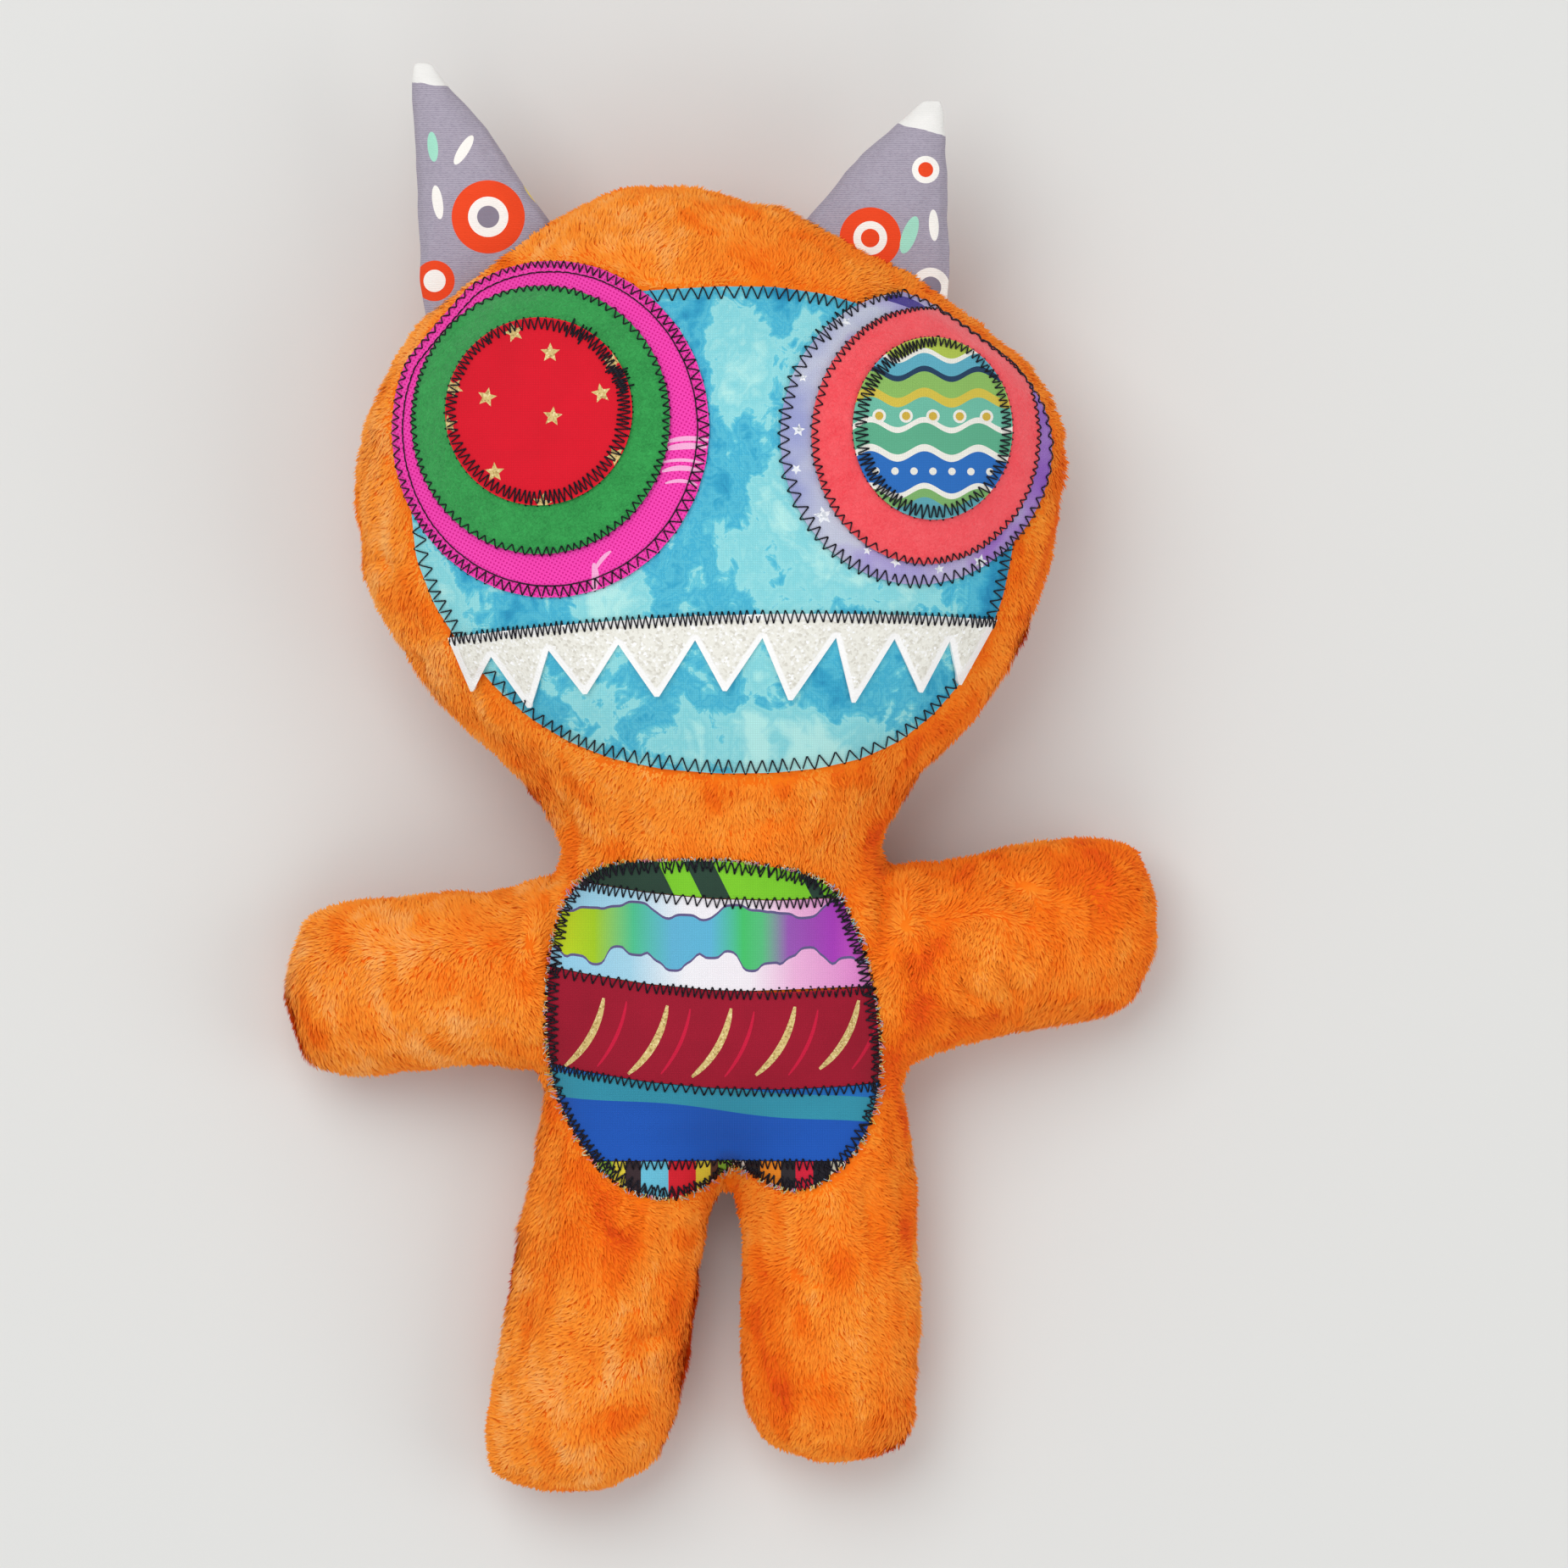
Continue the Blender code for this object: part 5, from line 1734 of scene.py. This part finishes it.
@dataclass
class Face:
    """The face patch, the teeth and both eyes, with their stitching."""

    patch_low: float = 0.0003
    patch_high: float = 0.0010
    upper_low: float = 0.0013
    cotton: float = 0.0007
    felt: float = 0.0012
    step: float = 0.0003

    def outlines(self) -> dict[str, Outline]:
        """Read the outline of every piece of the face."""
        nodes = ["face_patch", "tooth_strip"]
        for side in ("left", "right"):
            nodes += [f"eye_{side}_{disc}" for disc in ("outer_disc", "middle_disc", "pupil")]
        return {node: Outline.of_node(node) for node in nodes}

    def build(self, skin: Surface, cut: dict[str, Outline]) -> list[Object]:
        """Lay all the cloth of the face.

        Args:
            skin: The body's surface.
            cut: The outlines by node.

        Returns:
            The dressed pieces.
        """
        pieces = [Patch("face_cloth", "face_patch", "blue_batik", self.patch_low, self.patch_high,
                        BATIK, outline=cut["face_patch"]).build(skin)]
        pieces.append(ToothStrip(
            "teeth", "tooth_strip", "white_sheet", self.upper_low, self.upper_low + 0.001, TEETH,
            outline=cut["tooth_strip"], spacing=0.0013, rim=0.0021, lift=0.0009,
            rests_on=("face_cloth", "plush_body")).build(skin))
        for side in ("left", "right"):
            pieces += self.eye(side, skin, cut)
        return pieces

    def eye(self, side: str, skin: Surface, cut: dict[str, Outline]) -> list[Object]:
        """Lay the three discs of one eye."""
        discs = {
            "left": (
                ("outer_disc", "pink_cotton", PINK, self.pale_strokes()),
                ("middle_disc", "green_felt", GREEN_FELT, []),
                ("pupil", "red_cotton", RED, self.gold_stars()),
            ),
            "right": (
                ("outer_disc", "lavender_satin", LILAC, self.silver_stars()),
                ("middle_disc", "coral_felt", CORAL_FELT, []),
                ("pupil", "teal_cotton", self.pupil_bands(cut["eye_right_pupil"]),
                 self.pupil_dots(cut["eye_right_pupil"])),
            ),
        }
        low = self.upper_low
        below = "face_cloth"
        pieces = []
        for disc, slot, finish, motifs in discs[side]:
            thickness = self.felt if disc == "middle_disc" else self.cotton
            node = f"eye_{side}_{disc}"
            name = f"{side}_eye_{disc}"
            rests = (below, "plush_body") if below == "face_cloth" else (below,)
            pieces.append(Patch(name, node, slot, low, low + thickness, finish, motifs,
                                outline=cut[node], rests_on=rests).build(skin))
            below = name
            low += thickness + self.step
        return pieces

    @staticmethod
    def gold_stars() -> list[Motif]:
        """Return the stars of the red pupil, some of them cut by its edge."""
        places = (
            (-52.1, 129.1, 0.3), (-71.4, 115.6, 0.1), (-36.5, 116.6, 0.5), (-51.3, 109.6, 0.2),
            (-69.0, 92.7, 0.35), (-63.2, 135.4, 0.6), (-81.6, 118.6, 0.9), (-33.2, 126.1, 0.2),
            (-83.2, 107.3, 0.4), (-32.1, 97.6, 0.8), (-54.5, 83.2, 0.15))
        return [Motif(star((x / 1000, y / 1000), 0.0031, turn), GOLD_PRINT)
                for x, y, turn in places]

    @staticmethod
    def silver_stars() -> list[Motif]:
        """Return the scattered stars of the lilac disc."""
        places = ((23.5, 105.4, 2.1, 0.2), (31.0, 79.4, 3.0, 0.5), (22.8, 93.5, 1.7, 0.9),
                  (79.0, 65.6, 2.4, 0.1), (53.2, 65.4, 1.8, 0.7), (24.8, 121.5, 1.5, 0.3),
                  (38.0, 138.6, 1.7, 0.8), (44.5, 68.8, 1.4, 0.1), (66.5, 63.3, 1.6, 0.5))
        stars = [Motif(star((x / 1000, y / 1000), size / 1000, turn), SILVER_PRINT)
                 for x, y, size, turn in places]
        violet = CottonFinish("violet print on satin", 0.5, "#4A3A9C", "#3A2C84")
        return stars + [Motif(stroke((0.0500, 0.1462), (0.0570, 0.1462), (0.0650, 0.1405), 0.0030),
                              violet)]

    @staticmethod
    def pale_strokes() -> list[Motif]:
        """Return the pale brushed marks of the pink disc."""
        marks = (
            ((-17.0, 101.6), (-11.0, 103.8), (-3.4, 102.2), 1.5),
            ((-17.0, 99.6), (-11.0, 101.2), (-4.4, 100.2), 2.0),
            ((-18.5, 95.4), (-12.0, 97.3), (-5.2, 95.2), 1.0),
            ((-18.0, 92.8), (-12.0, 95.0), (-5.8, 92.6), 1.6),
            ((-17.0, 89.2), (-12.0, 91.0), (-7.2, 88.6), 1.1),
            ((-38.8, 65.0), (-37.8, 60.5), (-38.8, 56.4), 2.2),
            ((-33.5, 68.6), (-36.5, 66.8), (-38.6, 62.5), 1.3),
        )
        return [Motif(stroke(*[np.array(place) / 1000 for place in mark[:3]], mark[3] / 1000),
                      PINK_PALE) for mark in marks]

    @staticmethod
    def pupil_bands(outline: Outline) -> Finish:
        """Return level wavy bands in green, mustard, teal and blue for the right pupil."""
        low, high = outline.box()
        return BandedFinish(
            "banded green and blue cotton", 0.8, bottom=float(low[1]), top=float(high[1]),
            wave=0.0016, wave_length=0.0165, stops=(
                (0.00, "#5FA8B4"), (0.09, "#7FB36A"), (0.14, "#F2F0E6"), (0.17, "#2A6FC0"),
                (0.34, "#F2F0E6"), (0.38, "#5FB08C"), (0.50, "#F2F0E6"), (0.53, "#6FBFA6"),
                (0.64, "#D8C24A"), (0.69, "#8FBE62"), (0.78, "#23405E"), (0.81, "#5FAFC4"),
                (0.88, "#F2F0E6"), (0.91, "#B4C850")))

    @staticmethod
    def pupil_dots(outline: Outline) -> list[Motif]:
        """Return a row of pale dots along the blue band and one along the green band."""
        low, high = outline.box()
        middle = (low + high) / 2
        white = CottonFinish("white print", 0.8, "#F4F2EA", "#E8E6DC")
        mustard = CottonFinish("mustard print", 0.8, "#D9B84A", "#CBA83C")
        angles = np.arange(14) * math.tau / 14
        circle = np.column_stack([np.cos(angles), np.sin(angles)])
        dots = []
        for number in range(-3, 4):
            dots.append(Motif(middle + (number * 0.0058, -0.0132) + circle * 0.00115, white))
        for number in range(-2, 3):
            centre = middle + (number * 0.0082, 0.0036)
            dots.append(Motif(centre + circle * 0.0021, white))
            dots.append(Motif(centre + circle * 0.0013, mustard))
        return dots

    def stitch(self, surface: Surface, skin: Surface, cut: dict[str, Outline]) -> None:
        """Sew round the face patch, the teeth and every disc."""
        face = Thread("face_stitches", surface, skin, seed=3)
        hidden = [cut["eye_left_outer_disc"], cut["eye_right_outer_disc"], cut["tooth_strip"]]
        face.zigzag(cut["face_patch"].points, True, ZigZag.BORDER, hidden)
        face.zigzag(self.tooth_top(cut["tooth_strip"]), False, ZigZag.MOUTH)
        face.build(BLACK_THREAD, "blue_batik")
        left = Thread("left_eye_stitches", surface, skin, seed=4)
        ring = cut["eye_left_outer_disc"]
        left.zigzag(ring.points, True, ZigZag.WIDE)
        left.line(self.inset(ring, 0.0035), True)
        left.zigzag(cut["eye_left_middle_disc"].points, True, ZigZag.FELT)
        left.zigzag(cut["eye_left_pupil"].points, True, ZigZag.DENSE,
                    knots=((-0.0300, 0.1213), (-0.0426, 0.1370), (-0.0690, 0.1310)))
        left.build(BLACK_THREAD, "pink_cotton")
        right = Thread("right_eye_stitches", surface, skin, seed=5)
        right.zigzag(cut["eye_right_outer_disc"].points, True, ZigZag.LOOSE,
                     knots=((0.0316, 0.1390),))
        right.zigzag(cut["eye_right_middle_disc"].points, True, ZigZag.FELT)
        right.zigzag(cut["eye_right_pupil"].points, True, ZigZag.DENSE)
        right.build(BLACK_THREAD, "lavender_satin")

    @staticmethod
    def inset(outline: Outline, depth: float) -> Rows:
        """Return a loop that runs inside an outline at an even distance."""
        fine = resampled(outline.points, 0.001, True)
        return smoothed(fine + Thread.inward(fine, True) * depth, 6, True)

    @staticmethod
    def tooth_top(outline: Outline) -> Rows:
        """Return the upper edge of the teeth from right to left."""
        left, right = outline.points[:, 0].min(), outline.points[:, 0].max()
        rows = outline.points[outline.points[:, 1] > outline.points[:, 1].max() - 0.0085]
        order = np.argsort(-rows[:, 0])
        rows = rows[order]
        columns = np.linspace(right - 0.0005, left + 0.0005, 90)
        best = [rows[np.abs(rows[:, 0] - x) < 0.0022][:, 1].max(initial=-1.0) for x in columns]
        line = np.column_stack([columns, best])
        return smoothed(line[line[:, 1] > -0.5], 6, False)


@dataclass
class Belly:
    """The pieced belly patch: five strips joined by zigzag, with a frayed edge."""

    low: float = 0.0003
    high: float = 0.0010

    def outlines(self) -> list[Outline]:
        """Read the outlines of the five strips from the top down."""
        return [Outline.of_node(f"belly_strip_{number}") for number in range(1, 6)]

    def rim(self, strips: Sequence[Outline]) -> Outline:
        """Return the outline of the whole patch."""
        kept = []
        for number, strip in enumerate(strips):
            free = np.ones(len(strip.points), dtype=bool)
            for other, neighbour in enumerate(strips):
                if abs(other - number) == 1:
                    free &= neighbour.distance(strip.points) > 0.0011
            kept.append(strip.points[free])
        rows = np.concatenate(kept)
        middle = (rows.min(axis=0) + rows.max(axis=0)) / 2
        angles = np.arctan2(rows[:, 1] - middle[1], rows[:, 0] - middle[0])
        return Outline(smoothed(resampled(rows[np.argsort(angles)], 0.0012, True), 3, True))

    @staticmethod
    def join_line(upper: Outline, lower: Outline) -> Rows:
        """Return the line where two strips meet, from right to left."""
        rows = upper.points[lower.distance(upper.points) < 0.0008]
        return smoothed(rows[np.argsort(-rows[:, 0])], 3, False)

    def build(self, skin: Surface, strips: Sequence[Outline]) -> list[Object]:
        """Lay the five strips."""
        cloths = (self.greens, self.shaded, self.gilded, self.blues, self.striped)
        slots = ("lime_cotton", "rainbow_cotton", "crimson_cotton", "blue_cotton", "striped_cotton")
        pieces = []
        for number, (outline, cloth, slot) in enumerate(zip(strips, cloths, slots), start=1):
            finish, motifs = cloth(outline)
            pieces.append(Patch(f"belly_cloth_{number}", f"belly_strip_{number}", slot, self.low,
                                self.high, finish, motifs, outline=outline,
                                spacing=0.0022).build(skin))
        return pieces

    @staticmethod
    def greens(outline: Outline) -> tuple[Finish, list[Motif]]:
        """Return dark green cotton with leaning lime blocks."""
        lime = CottonFinish("lime print", 0.8, "#86D42E", "#74C426")
        low, high = outline.box()
        blocks = ((-0.0128, -0.0045), (0.0040, 0.0290), (0.0330, 0.0380))
        motifs = [Motif(quad(left, right, low[1] - 0.002, high[1] + 0.002, -0.008), lime)
                  for left, right in blocks]
        return CottonFinish("dark green cotton", 0.8, "#2C4A3A", "#24392E"), motifs

    @staticmethod
    def shaded(outline: Outline) -> tuple[Finish, list[Motif]]:
        """Return cotton shaded from lime to magenta, with two pale wavy fields outlined in grey."""
        low, high = outline.box()
        finish = BandedFinish(
            "rainbow shaded cotton", 0.8, bottom=float(low[0]), top=float(high[0]), sideways=True,
            interpolation="LINEAR", stops=(
                (0.00, "#C9D81E"), (0.14, "#A4CC22"), (0.26, "#4FC490"), (0.38, "#62B4D6"),
                (0.50, "#5FB6D8"), (0.60, "#46C46A"), (0.66, "#58C080"), (0.74, "#9A58B4"),
                (0.88, "#A83CB8"), (1.00, "#D05AC0")))
        pale = BandedFinish(
            "pale shaded cotton", 0.8, bottom=float(low[0]), top=float(high[0]), sideways=True,
            interpolation="LINEAR", stops=(
                (0.00, "#8FCBE6"), (0.25, "#A6D6EA"), (0.42, "#F4F2F6"), (0.62, "#F6EEF4"),
                (0.76, "#F0B4DC"), (1.00, "#E07CC8")))
        line = CottonFinish("grey printed line", 0.8, "#6A6090", "#5C5480")
        motifs = []
        for base, amplitude, length, phase, up in ((0.0085, 0.0016, 0.034, 0.4, True),
                                                   (-0.0062, 0.0021, 0.027, 1.9, False)):
            x = np.linspace(low[0] - 0.002, high[0] + 0.002, 110)
            middle = (low[1] + high[1]) / 2 + 0.0035 * ((x / 0.05) ** 2 - 0.4)
            wave = middle + base + amplitude * np.tanh(2.4 * np.sin(x / length * math.tau + phase))
            wave += amplitude * 0.55 * np.tanh(2.0 * np.sin(x / length * math.tau * 2.3))
            far = middle + (0.022 if up else -0.022)
            motifs.append(Motif(np.vstack([np.column_stack([x, wave]),
                                           np.column_stack([x, far])[::-1]]), pale))
            motifs.append(Motif(np.vstack([np.column_stack([x, wave + 0.0004]),
                                           np.column_stack([x, wave - 0.0004])[::-1]]), line))
        return finish, motifs

    @staticmethod
    def gilded(outline: Outline) -> tuple[Finish, list[Motif]]:
        """Return crimson cotton with gold and bright red strokes that lean in turn."""
        low, _ = outline.box()
        scarlet = CottonFinish("scarlet print", 0.8, "#D81440", "#C81038")
        motifs = []
        for number in range(5):
            x = low[0] + 0.012 + number * 0.0195
            sag = 0.0045 * ((x / 0.05) ** 2 - 0.6)
            foot, top = low[1] + 0.0065 + sag, low[1] + 0.0275 + sag
            motifs.append(Motif(stroke((x - 0.0065, foot), (x + 0.0035, foot + 0.008),
                                       (x + 0.0055, top), 0.0022), GOLD_PRINT))
            motifs.append(Motif(stroke((x + 0.0035, foot), (x + 0.0110, foot + 0.009),
                                       (x + 0.0125, top - 0.001), 0.0011), scarlet))
        return CottonFinish("crimson cotton", 0.8, "#A8102E", "#960C28"), motifs

    @staticmethod
    def blues(outline: Outline) -> tuple[Finish, list[Motif]]:
        """Return royal blue cotton with a teal band that slopes a little."""
        finish = BandedFinish(
            "blue banded cotton", 0.8, bottom=-0.1221, top=-0.0821, slope=0.093,
            wave=0.0006, wave_length=0.06, interpolation="CONSTANT", stops=(
                (0.00, "#1A57B8"), (0.50, "#3394AC"), (0.685, "#1E6FC0")))
        return finish, []

    @staticmethod
    def striped(outline: Outline) -> tuple[Finish, list[Motif]]:
        """Return upright stripes of many widths."""
        low, high = outline.box()
        finish = BandedFinish(
            "many-striped cotton", 0.8, bottom=float(low[0]), top=float(high[0]), sideways=True,
            interpolation="CONSTANT", stops=(
                (0.00, "#9CC23C"), (0.07, "#E8D23C"), (0.12, "#3A2A2E"), (0.18, "#6CC4DE"),
                (0.29, "#DC1E2E"), (0.40, "#E6D03A"), (0.46, "#5A3A2C"), (0.49, "#8CCB3E"),
                (0.55, "#F2EFE4"), (0.60, "#2A2628"), (0.66, "#F08A1E"), (0.74, "#2E2A2E"),
                (0.80, "#D81E3A"), (0.87, "#24222A"), (0.94, "#E8E2C8")))
        return finish, []

    def stitch(self, surface: Surface, skin: Surface, strips: Sequence[Outline],
               rim: Outline) -> None:
        """Join the strips and sew their rim down twice."""
        thread = Thread("belly_stitches", surface, skin, seed=8)
        for upper, lower in zip(strips[:-1], strips[1:]):
            thread.zigzag(self.join_line(upper, lower), False, ZigZag.JOIN)
        thread.zigzag(rim.points, True, ZigZag.RIM)
        thread.zigzag(np.roll(rim.points, 40, axis=0), True, ZigZag.LOOSE)
        thread.build(BLACK_THREAD, "blue_cotton")
        self.fray(surface, rim)

    @staticmethod
    def fray(surface: Surface, rim: Outline) -> None:
        """Let short loose threads stand out of the cut edge."""
        random = np.random.default_rng(21)
        colours = (("cream", "#EFE6C8"), ("rose", "#E59AB4"), ("yellow", "#E8D26A"),
                   ("sky", "#9CC8DC"))
        fine = resampled(rim.points, 0.0004, True)
        across = Thread.inward(fine, True)
        for number, (name, code) in enumerate(colours):
            thread = Thread(f"belly_fray_{name}", surface, surface, radius=0.00014, sides=3,
                            seed=30 + number)
            for index in random.integers(0, len(fine), 110):
                out = -across[index]
                along = np.array([-out[1], out[0]]) * random.uniform(-0.8, 0.8)
                reach = random.uniform(0.0008, 0.0022)
                path = []
                for share in (0.0, 0.35, 0.7, 1.0):
                    place = fine[index] - out * 0.0008
                    place = place + (out + along * share) * (reach * share + 0.0002)
                    path.append((place[0], place[1], 0.0004 + 0.0008 * share))
                thread.add_tube(path)
            thread.build(ThreadFinish(f"{name} cut thread", 0.8, code, code), "striped_cotton")


def ringed_disc(middle: Place, radius: float, colours: Sequence[str]) -> list[Blob]:
    """Return discs of one middle, each half as large as the one under it.

    Args:
        middle: Their middle.
        radius: The largest one's radius.
        colours: Their colours from the largest to the smallest.

    Returns:
        The printed discs.
    """
    return [Blob(middle, (radius * 0.55 ** number,) * 2, 0.0, code)
            for number, code in enumerate(colours)]


def ear_prints() -> dict[str, Finish]:
    """Return the prints of both ears: ringed discs and lozenges on grey-mauve with a white tip."""
    red, white, grey, yellow, mint = "#F0481C", "#FBF7F0", "#8A8292", "#F4DC5C", "#A4E0C8"
    left = (
        *ringed_disc((-0.0715, 0.1715), 0.0112, (red, white, grey)),
        *ringed_disc((-0.0880, 0.1520), 0.0062, (red, white)),
        Blob((-0.0555, 0.1790), (0.0032, 0.0075), 0.75, yellow),
        Blob((-0.0870, 0.1760), (0.0016, 0.0052), 0.15, white),
        Blob((-0.0790, 0.1920), (0.0016, 0.0052), -0.55, white),
        Blob((-0.0885, 0.1930), (0.0016, 0.0046), 0.1, mint),
    )
    right = (
        *ringed_disc((0.0455, 0.1650), 0.0094, (red, white, red)),
        *ringed_disc((0.0625, 0.1860), 0.0042, (white, red)),
        *ringed_disc((0.0640, 0.1500), 0.0060, (white, grey)),
        Blob((0.0575, 0.1660), (0.0022, 0.0060), -0.35, mint),
        Blob((0.0650, 0.1690), (0.0015, 0.0048), 0.05, white),
    )
    return {
        "left": EarPrintFinish("left ear twill", 0.8, tip_line=(0.1, 0.9949, 0.2045), blobs=left),
        "right": EarPrintFinish("right ear twill", 0.8, tip_line=(0.2, 0.9798, 0.2085),
                                blobs=right),
    }


def main() -> None:
    """Dress the whole doll and set up the stage."""
    logging.basicConfig(level=logging.INFO, format="%(name)s %(message)s")
    face, belly = Face(), Belly()
    cut = face.outlines()
    strips = belly.outlines()
    rim = belly.rim(strips)
    patches = [cut["face_patch"], cut["tooth_strip"], cut["eye_left_outer_disc"],
               cut["eye_right_outer_disc"], rim]
    body = PlushBody().build(patches)
    skin = Surface(body)
    PlushPile().build(skin, patches)
    sheets = face.build(skin, cut) + belly.build(skin, strips)
    dressed = Surface(body, *sheets)
    face.stitch(dressed, skin, cut)
    belly.stitch(dressed, skin, strips, rim)
    bases = {"left": ((-0.0922, 0.1382), (-0.0524, 0.1759)),
             "right": ((0.0282, 0.1733), (0.0698, 0.1434))}
    for side, finish in ear_prints().items():
        Ear(side, finish, bases[side]).build()
    Studio().build()


if __name__ == "__main__":
    main()
